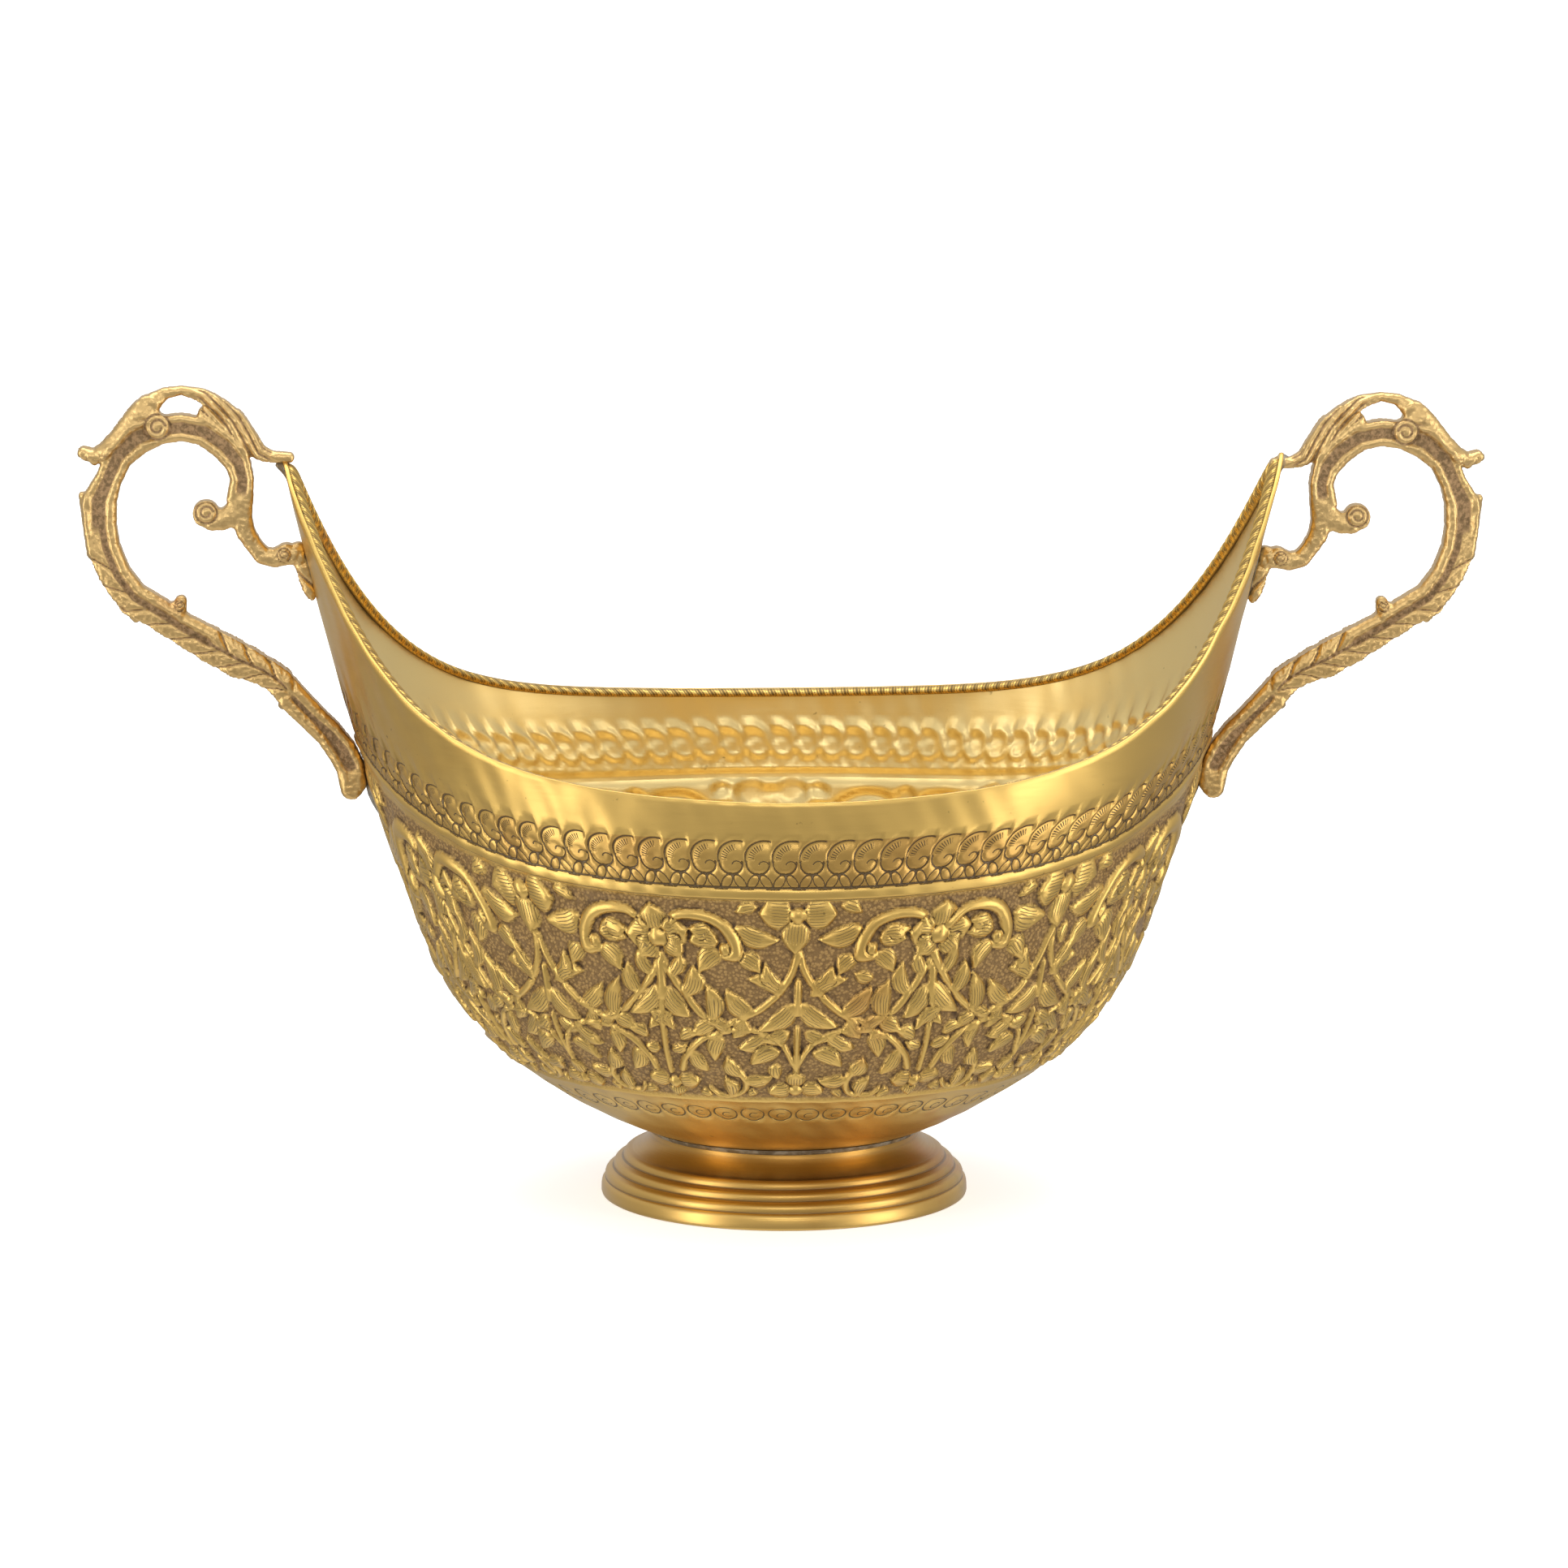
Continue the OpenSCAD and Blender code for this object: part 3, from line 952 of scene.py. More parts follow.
def same_rows(rows):
    """The same rows at every turn."""
    return lambda turn: np.repeat(rows[:, None], len(turn), 1)


def flower_rows(step):
    v, table = climb(np.zeros(1), BASE_TOP, BELLY_TOP)
    many = int(table[-1, 0] / step) + 1
    return same_rows(np.interp(np.linspace(0, table[-1, 0], many), table[:, 0], v))


def collar_rows(step, plain_count):
    def rows(turn):
        v, table = climb(turn, BELLY_TOP, MOUTH)
        below = np.array([np.interp(BORDER, v, table[:, c]) for c in range(len(turn))])
        band = np.linspace(0, 1, int((BAND_HIGH + 1.5) / step))
        high = below + BAND_HIGH
        parts = [np.interp(band * high[c], table[:, c], v) for c in range(len(turn))]
        share = np.linspace(0, 1, plain_count + 1)[1:]
        rest = [np.interp(high[c] + share * (table[-1, c] - high[c]), table[:, c], v)
                for c in range(len(turn))]
        return np.vstack([np.stack(parts, 1), np.stack(rest, 1)])
    return rows


BASE_TOP, BELLY_TOP = 2.64, 5.9
bowl_base = ring_piece("bowl_shell_base", rows=same_rows(np.linspace(0, BASE_TOP, 44)), columns=760,
                       inner_rows=same_rows(np.linspace(0, BASE_TOP, 24)), inner_columns=380, base=True)
bowl_belly = ring_piece("bowl_shell_belly", rows=flower_rows(0.5), columns=1280,
                        inner_rows=flower_rows(1.1), inner_columns=560, faces=128000)
bowl_collar = ring_piece("bowl_shell_collar", rows=collar_rows(0.5, 9), columns=1280,
                         inner_rows=collar_rows(0.75, 7), inner_columns=700, mouth=True)

# %% [markdown]
# ## Rim wires
# A half-round strip rolled with slanting flutes stiffens the mouth inside. Two lengths are
# bent from tip to tip and soldered under the edge. A finer twisted line runs along its foot.

# %% Rim wires
WIRE_HIGH, WIRE_THICK, WIRE_SINK = 3.2, 2.0, 0.3
FLUTE, FLUTE_SLANT = 0.86, 1.1
FINE_LINE = 0.62
WIRE_COLUMNS, WIRE_ROWS = 1500, 16
# Share of the rows on the strip's face; the others close its back
FACE_SHARE = 0.75


def face_out(mesh):
    """Turns every face outwards and reports open edges."""
    bm = bmesh.new()
    bm.from_mesh(mesh)
    bmesh.ops.dissolve_degenerate(bm, dist=1e-7, edges=bm.edges)
    bmesh.ops.recalc_face_normals(bm, faces=bm.faces)
    print(mesh.name, len(bm.faces), "faces,", sum(not e.is_manifold for e in bm.edges), "unclosed edges")
    bm.to_mesh(mesh)
    bm.free()


def lining(v, turn):
    """Point of the plain inner face, and the level way out from it."""
    level = levelled(wall_normal(v, turn))
    return wall(v, turn) - SHEET * level, level


def make_rim_wire(name, near):
    turns = np.linspace(-math.pi / 2, math.pi / 2, WIRE_COLUMNS + 1)
    points = lining(np.full_like(turns, MOUTH), turns)[0]
    walked = np.concatenate([[0], np.cumsum(np.linalg.norm(np.diff(points, axis=0), axis=1))])
    turns = np.interp(np.linspace(0, walked[-1], WIRE_COLUMNS + 1), walked, turns)
    walked = np.linspace(0, walked[-1], WIRE_COLUMNS + 1)
    turns = turns if near else math.pi - turns
    span = WIRE_HIGH / (SECTIONS[-1, 3] - SECTIONS[-2, 3])
    top, out_top = lining(np.full_like(turns, MOUTH), turns)
    low = lining(np.full_like(turns, MOUTH - span), turns)[0]
    ends = np.clip(np.minimum(walked, walked[-1] - walked) / 2.5, 0, 1) ** 0.5
    mesh, row, column = grid_mesh(name, WIRE_COLUMNS, WIRE_ROWS)
    around = row / WIRE_ROWS
    on_face = around < FACE_SHARE
    back = (around - FACE_SHARE) / (1 - FACE_SHARE)
    bulge = np.sin(np.pi * np.clip(around / FACE_SHARE, 0, 1)) ** 0.6
    down = np.where(on_face, around / FACE_SHARE, 1 - back)
    s = walked[column]
    flute = np.abs(np.sin(np.pi * (s - FLUTE_SLANT * down) / FLUTE))
    broad = np.cos(2 * np.pi * (s - FLUTE_SLANT * down) / (4 * FLUTE))
    fine = np.abs(np.sin(np.pi * (s + 0.5 * down) / FINE_LINE))
    foot_line = smooth(down, 0.78, 0.86)
    cut = (0.34 * flute ** 0.8 + 0.26 * broad) * (1 - foot_line) + 0.16 * fine * foot_line
    pinch = 1 - 0.4 * hump(down, 0.8, 0.05)
    thick = WIRE_THICK * bulge * pinch + (cut - 0.1) * (bulge > 0.2)
    behind = -WIRE_SINK * np.sin(np.pi * np.clip(back, 0, 1))
    reach = np.where(on_face, thick, behind) * ends[column]
    middle = 0.5 + (down - 0.5) * ends[column]
    face = top[column] * (1 - middle)[:, None] + low[column] * middle[:, None]
    face -= out_top[column] * reach[:, None]
    face[:, 2] += 0.1 - 0.25 * down
    mesh.vertices.foreach_set("co", (face * MM).astype(np.float32).ravel())
    shade = np.where(down > 0.8, fine, flute * (0.72 + 0.4 * broad))
    store(mesh, "groove", 1 - np.clip(shade * 1.3, 0, 1))
    store(mesh, "down", np.where(on_face, down, 1.0))
    weld(mesh, 1e-6)
    face_out(mesh)
    mesh.shade_smooth()
    return settle(name, mesh)


rim_front = make_rim_wire("rim_wire_front_roped", True)
rim_back = make_rim_wire("rim_wire_back_roped", False)

# %% [markdown]
# ## Foot
# The foot is turned: a plain band, three soft steps with a bead each, and a hollow neck. Its
# outline is spun round the axis in one go, and the faint wander of the steps is left by hand
# scraping after turning.

# %% Foot
FOOT_STEPS = 200


def bulge_between(start, end, depth, points=7):
    """Points of a soft bulge from one outline point to the next, depth to the outside."""
    start, end = np.array(start), np.array(end)
    way = end - start
    side = np.array([way[1], -way[0]]) / np.linalg.norm(way)
    shares = np.linspace(0, 1, points)
    return [start + way * t + side * depth * math.sin(math.pi * t) ** 0.8 for t in shares]


FOOT_OUTSIDE = [(48.7, 0.0), (49.3, 0.35), (49.5, 1.0), (49.45, 2.6), (49.2, 3.7), (48.7, 4.3)]
FOOT_STEPS_UP = [((48.2, 4.5), (46.8, 7.2), 0.8), ((46.0, 7.4), (44.3, 9.8), 0.75),
                 ((43.5, 10.0), (41.5, 12.3), 0.7)]
FOOT_NECK = [(40.6, 12.6), (39.2, 13.3), (37.9, 14.3), (36.9, 15.4), (36.2, 16.5), (35.9, 17.6),
             (35.8, 18.4)]
FOOT_INSIDE = [(33.4, 17.4), (33.4, 16.2), (34.6, 13.9), (37.4, 11.2), (41.4, 7.4), (45.4, 4.0),
               (45.8, 0.6), (46.3, 0.0)]


def make_foot():
    outline = list(FOOT_OUTSIDE)
    for start, end, depth in FOOT_STEPS_UP:
        outline += bulge_between(start, end, depth)
    outline += FOOT_NECK + FOOT_INSIDE
    bm = bmesh.new()
    verts = [bm.verts.new((p[0] * MM, 0, p[1] * MM)) for p in outline]
    edges = [bm.edges.new((a, b)) for a, b in zip(verts, verts[1:] + verts[:1])]
    bmesh.ops.subdivide_edges(bm, edges=edges, cuts=1)
    bmesh.ops.spin(bm, geom=bm.verts[:] + bm.edges[:], axis=(0, 0, 1), cent=(0, 0, 0),
                   angle=2 * math.pi, steps=FOOT_STEPS, use_merge=True)
    bmesh.ops.remove_doubles(bm, verts=bm.verts, dist=1e-6)
    for v in bm.verts:
        a = math.atan2(v.co.y, v.co.x)
        if 0.003 < v.co.z < 0.0165 and v.co.to_2d().length > 0.036:
            v.co.z += 0.00009 * math.sin(3 * a + 1) * math.sin(v.co.z * 500)
            v.co *= 1 + 0.0012 * math.sin(2 * a + v.co.z * 300)
    bmesh.ops.recalc_face_normals(bm, faces=bm.faces)
    piece = settle("foot_turned", mesh_from(bm, "foot_turned"))
    piece.data.shade_smooth()
    return piece


foot = make_foot()
low_z = min(v.co.z for v in foot.data.vertices)
print("foot rests at %.2f mm" % (low_z * 1000))

# %% [markdown]
# ## Handles
# The handles are sand cast from one carved pattern and barely cleaned up. Bars with flat faces
# are joined into one skin by remeshing, then the carving is lifted and sunk on both faces:
# leaves that overlap along the outer side, a smooth bead along the inner side, a large leaf
# with a curled end above, and rough cast ground between them. Bars are lists of points:
# outwards from the axis, up, and half width, in mm.

# %% Handle bars
MAIN_BAR = [(144.6, 186, 2.6), (145.2, 190.5, 3.6), (144.6, 196, 3.1), (145.8, 200.5, 3.4),
            (149.2, 204.8, 3.7), (154.5, 208.6, 3.6), (160.5, 209.8, 3.5), (166.5, 209.2, 3.8),
            (172.5, 207, 4.5), (177.3, 202.3, 3.8), (180, 196, 3.5), (182.4, 190.4, 4.5),
            (182.5, 183.5, 4.4), (181.5, 177.5, 4.3), (178.5, 170, 4.2), (174, 164, 4.2),
            (167.5, 160, 4.2), (161.5, 156, 4.1), (154, 151.5, 4.5), (146, 147, 4.6),
            (139.5, 144.2, 3.7), (135, 141, 3.6), (131, 136, 3.9), (126.4, 131.2, 3.7),
            (122, 126.8, 3.7), (118.6, 122, 3.9), (116.4, 117.6, 3.8), (115.8, 113.6, 3.7),
            (116.2, 112, 3)]
ARCH = [(132, 201.5, 1.4), (136.5, 201.7, 1.5), (140, 203, 2), (143, 207.4, 2.4),
        (146.5, 211.9, 2.6), (150.5, 215.3, 2.4), (155, 218.4, 1.7), (160.5, 219.7, 1.2),
        (165, 218.9, 1.5), (169.5, 215.5, 3), (173, 211.5, 3.1), (176.5, 207, 2.9), (180, 204, 2.3),
        (183.5, 202, 1.8), (186.8, 203.2, 1.3)]
CURL = [(146.2, 186.8, 3.2), (150, 184.8, 2.6), (152.6, 185.1, 3), (154.3, 186.6, 3.6)]
STEM = [(145, 186, 2.9), (143.8, 181.5, 2.5), (141.6, 178, 2.2), (139.4, 175.2, 2.3),
        (136, 174.4, 2.4), (133, 175.6, 2.9), (130.8, 175.2, 2.5)]
TONGUE = [(129.8, 177, 1.8), (128.6, 172, 2), (127, 167, 1.9), (126.4, 164.6, 1.3)]
SPURS = [[(174.5, 163, 3.6), (173.2, 158.6, 1.2)], [(163, 158, 3.2), (161.2, 163, 1.6)],
         [(183, 189, 4), (187.2, 191.6, 1)], [(184.6, 176, 1.6), (187.2, 191.6, 1)],
         [(132.5, 138, 3.2), (134.6, 134.6, 1.1)], [(150, 149, 3.6), (148.4, 144.6, 1.2)]]
WEB = [(149.5, 210, 3.6), (146.5, 204.5, 3.3), (143, 203.5, 1.8)]
FILL = [[(153.6, 213, 2.7), (152, 212, 3)], [(168.8, 213, 2.8), (169.8, 211.5, 3)]]
HANDLE_CELL = 0.42
HANDLE_HALF = 3.5
# Share of their thickness that the bars lose towards their edges
EDGE_THINNER = 0.26


def half_thick(r):
    return min(HANDLE_HALF, r + 0.8)


def add_bar(bm, points):
    """Flat-faced bar through [outwards, up, half width], standing in the XZ plane."""
    for x, z, r in points:
        place = Matrix.Translation((x, 0, z)) @ Matrix.Rotation(math.pi / 2, 4, "X")
        bmesh.ops.create_cone(bm, cap_ends=True, segments=24, radius1=r, radius2=r,
                              depth=2 * half_thick(r), matrix=place)
    for start, end in zip(points, points[1:]):
        way = Vector((end[0] - start[0], 0, end[1] - start[1])).normalized()
        over = way.cross(Vector((0, 1, 0)))
        for v in bmesh.ops.create_cube(bm, size=2)["verts"]:
            x, z, r = start if v.co.x < 0 else end
            v.co = Vector((x, v.co.y * half_thick(r), z)) + over * r * v.co.z


def remeshed(name, bm, cell):
    """One closed skin over overlapping solids."""
    piece = settle(name, mesh_from(bm, name))
    skin_over = piece.modifiers.new("skin", "REMESH")
    skin_over.mode = "VOXEL"
    skin_over.voxel_size = cell
    kept_shape(piece)
    return piece


# %% [markdown]
# The carving is worked out in the handle's own plane. Every point knows the nearest bar, how
# far along it lies and how far to the side, so leaves can follow any bend.

# %% Carving of the handles
LEAF_PITCH = 7.2
LEAF_LEAN = -0.75
# Curled ends and round seeds: middle and radius
CURLED_ENDS = (((166.9, 210.3), 3.0), ((154.2, 187.2), 2.6), ((133.6, 175.6), 1.6),
               ((161.6, 162.0), 1.2))


def along_bar(x, z, points):
    """Length along a bar, side offset over its half width, half width, and the offset's size."""
    best = np.full(x.shape, 1e9)
    along, side, width = np.zeros_like(best), np.zeros_like(best), np.ones_like(best)
    walked = 0.0
    for (x0, z0, r0), (x1, z1, r1) in zip(points, points[1:]):
        dx, dz = x1 - x0, z1 - z0
        length = math.hypot(dx, dz)
        t = np.clip(((x - x0) * dx + (z - z0) * dz) / length ** 2, 0, 1)
        r = r0 + (r1 - r0) * t
        off = np.hypot(x - x0 - t * dx, z - z0 - t * dz)
        nearer = off / r < best
        best = np.where(nearer, off / r, best)
        hand_side = np.sign((x - x0) * dz - (z - z0) * dx)
        along = np.where(nearer, walked + t * length, along)
        side = np.where(nearer, off / r * hand_side, side)
        width = np.where(nearer, r, width)
        walked += length
    return along, side, width, best


def leaf_row(along, side, pitch, lean, first):
    """Overlapping leaves on one side of a bar: their height, and their grooves."""
    shift = along / pitch - first - lean * (side - 0.5)
    cell = shift % 1
    body = np.sin(np.pi * np.clip(cell / 0.97, 0, 1)) ** 0.5 * (0.45 + 0.55 * cell)
    edge = hump(np.minimum(cell, 1 - cell), 0, 0.06)
    vein = hump(cell - 0.45 - 0.1 * side, 0, 0.05) + hump(cell, 0.7, 0.05) * 0.7
    return body, edge + 0.45 * vein


def ring_mark(x, z, middle, radius, width):
    """Spiral groove of a curled end."""
    dx, dz = x - middle[0], z - middle[1]
    r, a = np.hypot(dx, dz), np.arctan2(dz, dx)
    return hump(r, radius * (0.75 + 0.25 * a / math.pi), width) * (r < radius * 1.25)


def carving(x, z):
    """Lift of a face in mm, and how deep in a recess it lies (0 to 1)."""
    along, side, _, far = along_bar(x, z, MAIN_BAR)
    lift, dark = np.zeros_like(x), np.zeros_like(x)
    # Grain of the sand
    rough = np.array([noise.fractal((px * 1.1, 1.0, pz * 1.1), 0.7, 2.1, 4) for px, pz in zip(x, z)])
    # The loop: a bead along its inner side, beside sunk ground that is wider in its upper part
    loop = smooth(along, 4, 8) * (1 - smooth(along, 116, 120))
    bead = loop * hump(side, 0.66, 0.26, 4)
    lift += 0.55 * bead
    ground = hump(side, 0.12, 0.24, 4) * loop
    upper = smooth(along, 4, 8) * (1 - smooth(along, 70, 76))
    ground = np.maximum(ground, hump(side, -0.1, 0.42, 6) * upper)
    lift += 0.45 * upper * hump(side, -0.8, 0.2, 4)
    # Leaves down the outer side, and on both sides of the lower arm
    leaves_end = 1 - smooth(along, 140, 143)
    arm = smooth(along, 114, 118) * leaves_end
    on_left = (side < 0.1) * smooth(along, 74, 80) * leaves_end
    on_right = (side >= 0.1) * arm
    for turned, first, there in ((-side, 0.3, on_left), (side, 0.8, on_right)):
        body, cut = leaf_row(along, turned, LEAF_PITCH, LEAF_LEAN, first)
        lift += there * (0.75 * body - 0.5 * cut)
        dark = np.maximum(dark, there * cut * 0.9)
    middle_cut = hump(side, 0.1, 0.1) * arm
    lift -= 0.45 * middle_cut
    dark = np.maximum(dark, middle_cut)
    # The tail: a groove between two ridges
    tail = smooth(along, 141, 146)
    groove = hump(side, 0.05, 0.2 + 0.25 * smooth(along, 150, 164), 4) * tail
    groove = groove * (1 - smooth(along, 168, 171))
    lift -= 0.6 * groove
    lift += 0.35 * tail * (hump(side, -0.6, 0.25) + hump(side, 0.7, 0.25))
    dark = np.maximum(dark, groove)
    lift -= 0.55 * ground
    dark = np.maximum(dark, ground * 0.85)
    # The large leaf above, its curled end, and the long grooves beside the eye
    a_along, a_side, a_width, a_far = along_bar(x, z, ARCH)
    leaf = (a_far < far) * smooth(a_along, 45, 48)
    strokes = np.abs(np.sin((a_along + 3.5 * a_side) * 1.15)) ** 6 * (a_side > 0.1)
    lift += leaf * (0.35 + 0.75 * np.clip(1 - a_side ** 2, 0, 1) ** 0.5 - 0.4 * strokes)
    dark = np.maximum(dark, leaf * strokes * 0.6)
    fan = (a_far < far + 0.3) * (1 - smooth(a_along, 30, 34)) * smooth(a_along, 3, 6)
    waves = np.sin((a_side * a_width + 0.16 * a_along) * 3.1)
    lift += fan * 0.45 * waves
    dark = np.maximum(dark, fan * np.clip(-waves, 0, 1) * 0.8)
    for middle, radius in CURLED_ENDS:
        r = np.hypot(x - middle[0], z - middle[1])
        disc = 1 - smooth(r, radius * 0.9, radius * 1.1)
        mark = ring_mark(x, z, middle, radius * 0.72, radius * 0.16)
        rim = hump(r, radius * 1.12, radius * 0.14)
        lift = lift * (1 - disc) + disc * (0.75 - 0.5 * mark) - 0.4 * rim
        dark = np.maximum(dark * (1 - disc), disc * mark * 0.8)
        dark = np.maximum(dark, rim * 0.9)
    lift += (0.1 + 0.22 * dark) * rough
    return lift, np.clip(dark, 0, 1), rough


# The right-hand casting is a little shorter and is soldered on a little lower
SET_SHORT = 0.98
SET_DOWN = 1.4
SET_IN = 0.5
TAIL_LOW = 112.0


def make_handle(name, side):
    bm = bmesh.new()
    bars = [MAIN_BAR, ARCH, CURL, STEM, WEB, TONGUE] + SPURS + FILL
    for points in bars:
        add_bar(bm, points)
    piece = remeshed(name, bm, HANDLE_CELL)
    mesh = piece.data
    bm = bmesh.new()
    bm.from_mesh(mesh)
    for _ in range(3):
        bmesh.ops.smooth_vert(bm, verts=bm.verts, factor=0.5,
                              use_axis_x=True, use_axis_y=True, use_axis_z=True)
    bm.normal_update()
    co = np.array([v.co[:] for v in bm.verts])
    normal = np.array([v.normal[:] for v in bm.verts])
    x, z = co[:, 0], co[:, 2]
    far = np.min([along_bar(x, z, points)[3] for points in bars], axis=0)
    co[:, 1] *= 1 - EDGE_THINNER * np.clip(far, 0, 1) ** 2.5
    lift, dark, rough = carving(x, z)
    face = smooth(np.abs(normal[:, 1]), 0.15, 0.8)
    co += normal * (lift * face + 0.1 * rough)[:, None]
    if side > 0:
        co[:, 2] = TAIL_LOW + (co[:, 2] - TAIL_LOW) * SET_SHORT - SET_DOWN
        co[:, 0] -= SET_IN
    co[:, 0] *= side
    for v, p in zip(bm.verts, co):
        v.co = Vector(p) * MM
    if side < 0:
        bmesh.ops.reverse_faces(bm, faces=bm.faces)
    bm.to_mesh(mesh)
    bm.free()
    store(mesh, "recess", dark * face)
    mesh.shade_smooth()
    print(name, len(mesh.polygons), "faces")
    return piece


handle_right = make_handle("handle_right_cast", 1)
handle_left = make_handle("handle_left_cast", -1)

# %% [markdown]
# ## Brass
# Old brass that was dipped dark and rubbed back: pale and smooth where a cloth reaches, brown
# in every hollow, with copper-red clouds left by the torch; painted shade darkens the lower
# part of each piece, and the neck of the foot under the bowl.

# %% Colours of brass
PALE_BRASS = (0.68, 0.445, 0.125)
# Deep brass is both the colour of random deep clouds and the painted shade laid low down
DEEP_BRASS_AND_LOW_SHADE = (0.54, 0.31, 0.07)
COPPER_RED = (0.50, 0.19, 0.06)
OLIVE = (0.36, 0.25, 0.07)
GROUND_BROWN = (0.17, 0.095, 0.035)
GROUND_WORN = (0.34, 0.205, 0.072)
PITCH_DARK = (0.030, 0.018, 0.009)
# Painted light: the inside is painted paler and yellower than the same brass outside
INSIDE_PAINTED_PALER = (0.84, 0.66, 0.3)
BAND_STAIN = (0.42, 0.225, 0.06)
CREASE_DARK = (0.06, 0.03, 0.013)
CREASE_INSIDE = (0.3, 0.18, 0.05)
SPECK_BROWN = (0.12, 0.07, 0.03)
ROPE_GREY = (0.09, 0.075, 0.06)
# The foot's deep colour is also its painted shade, up towards the neck under the bowl
FOOT_PALE, FOOT_DEEP_AND_NECK_SHADE = (0.66, 0.41, 0.115), (0.43, 0.225, 0.05)
FOOT_HOLLOW, FOOT_GREEN = (0.09, 0.045, 0.015), (0.22, 0.2, 0.06)
# The castings' deep colour is also their painted shade, on their lower parts
CAST_PALE, CAST_DEEP_AND_LOW_SHADE = (0.68, 0.46, 0.19), (0.59, 0.38, 0.14)
CAST_DIRT, CAST_DUST, CAST_STAIN = (0.11, 0.062, 0.028), (0.33, 0.2, 0.1), (0.25, 0.15, 0.06)
SOLDER_DARK, SOLDER_PALE, SOLDER_BRASS = (0.2, 0.17, 0.125), (0.4, 0.37, 0.3), (0.4, 0.26, 0.09)


def rubbed_brass(f, pale=PALE_BRASS, deep=DEEP_BRASS_AND_LOW_SHADE, low=0.018, high=0.075):
    """Base colour of a piece, with painted shade from high down to low, and slow clouds for its roughness."""
    where = f.place()
    height = f.node("ShaderNodeSeparateXYZ", output=2, Vector=where)
    clouds = f.noise(11.0, 4.0, 0.55)
    # Painted shade: the deep colour is laid by height, darker below low and paler above high, with a little
    # noise in its edge
    wander = height + (clouds - 0.5) * 0.03
    tone = f.mix(wander.rise(low, high), deep, pale)
    tone = f.clouded(tone, deep, 0.45, 0.5, 0.74, 19.0, 5.0, 0.6)
    tone = f.clouded(tone, COPPER_RED, 0.4, 0.63, 0.72, 33.0, 3.0, 0.5, stretch=(1, 1, 0.45))
    tone = f.clouded(tone, OLIVE, 0.3, 0.64, 0.74, 27.0, 4.0, 0.6)
    return tone, clouds


# %% [markdown]
# The punches leave fine dark lines, drawn here as circles in the cell of each punch. The chased
# ground is matted with a small point, so it is stippled, dull and brown.

# %% Chased finish
def punch_cell(f, layer, pitch):
    """Position in mm inside a punch's cell."""
    uv = f.node("ShaderNodeUVMap", {"uv_map": layer})
    across = f.node("ShaderNodeSeparateXYZ", Vector=uv)
    height = f.node("ShaderNodeSeparateXYZ", output=1, Vector=uv)
    return across.math("FRACT") * pitch, height


def ring_line(x, y, arc, width=0.13):
    dx, dy = x - arc[0], y - arc[1]
    off = ((dx * dx + dy * dy).math("SQRT") - arc[2]).size()
    return off.rise(width * 1.9, width * 0.6), dx, dy


def comma_lines(x, y):
    back, dx, dy = ring_line(x, y, BACK_ARC, 0.15)
    back = back * dx.rise(2.2, 1.2) * dy.rise(-1.2, -0.4)
    foot, _, fy = ring_line(x, y, FOOT_RING)
    foot = foot * fy.rise(1.0, 0.5)
    hook, _, hy = ring_line(x, y, HOOK_ARC, 0.11)
    hook = hook * hy.rise(0.1, 0.4)
    reach = (dx * dx + dy * dy).math("SQRT")
    strokes = (dy.math("ARCTAN2", dx) * 5.6).math("FRACT")
    hatch = (strokes - 0.5).size().rise(0.24, 0.1) * reach.rise(2.7, 3.0) * reach.rise(4.35, 4.1)
    hatch = hatch * dx.rise(-0.2, -0.8) * dy.rise(-0.2, 0.4)
    return back.either(foot).either(hook), hatch


def petal_lines(x, y):
    lines = 0.0
    for middle, slant in PETALS:
        c, s = math.cos(slant), math.sin(slant)
        px = ((x - (middle - COMMA_PITCH * 1.5)) / COMMA_PITCH).math("FRACT") * COMMA_PITCH
        px = px - COMMA_PITCH / 2
        py = y - PETAL_HEIGHT
        u, w = (px * c + py * s) / PETAL[0], (py * c - px * s) / PETAL[1]
        outline = ((u * u + w * w).math("SQRT") - 1.0).size().rise(0.17, 0.06)
        lines = outline if lines == 0.0 else lines.either(outline)
    return lines


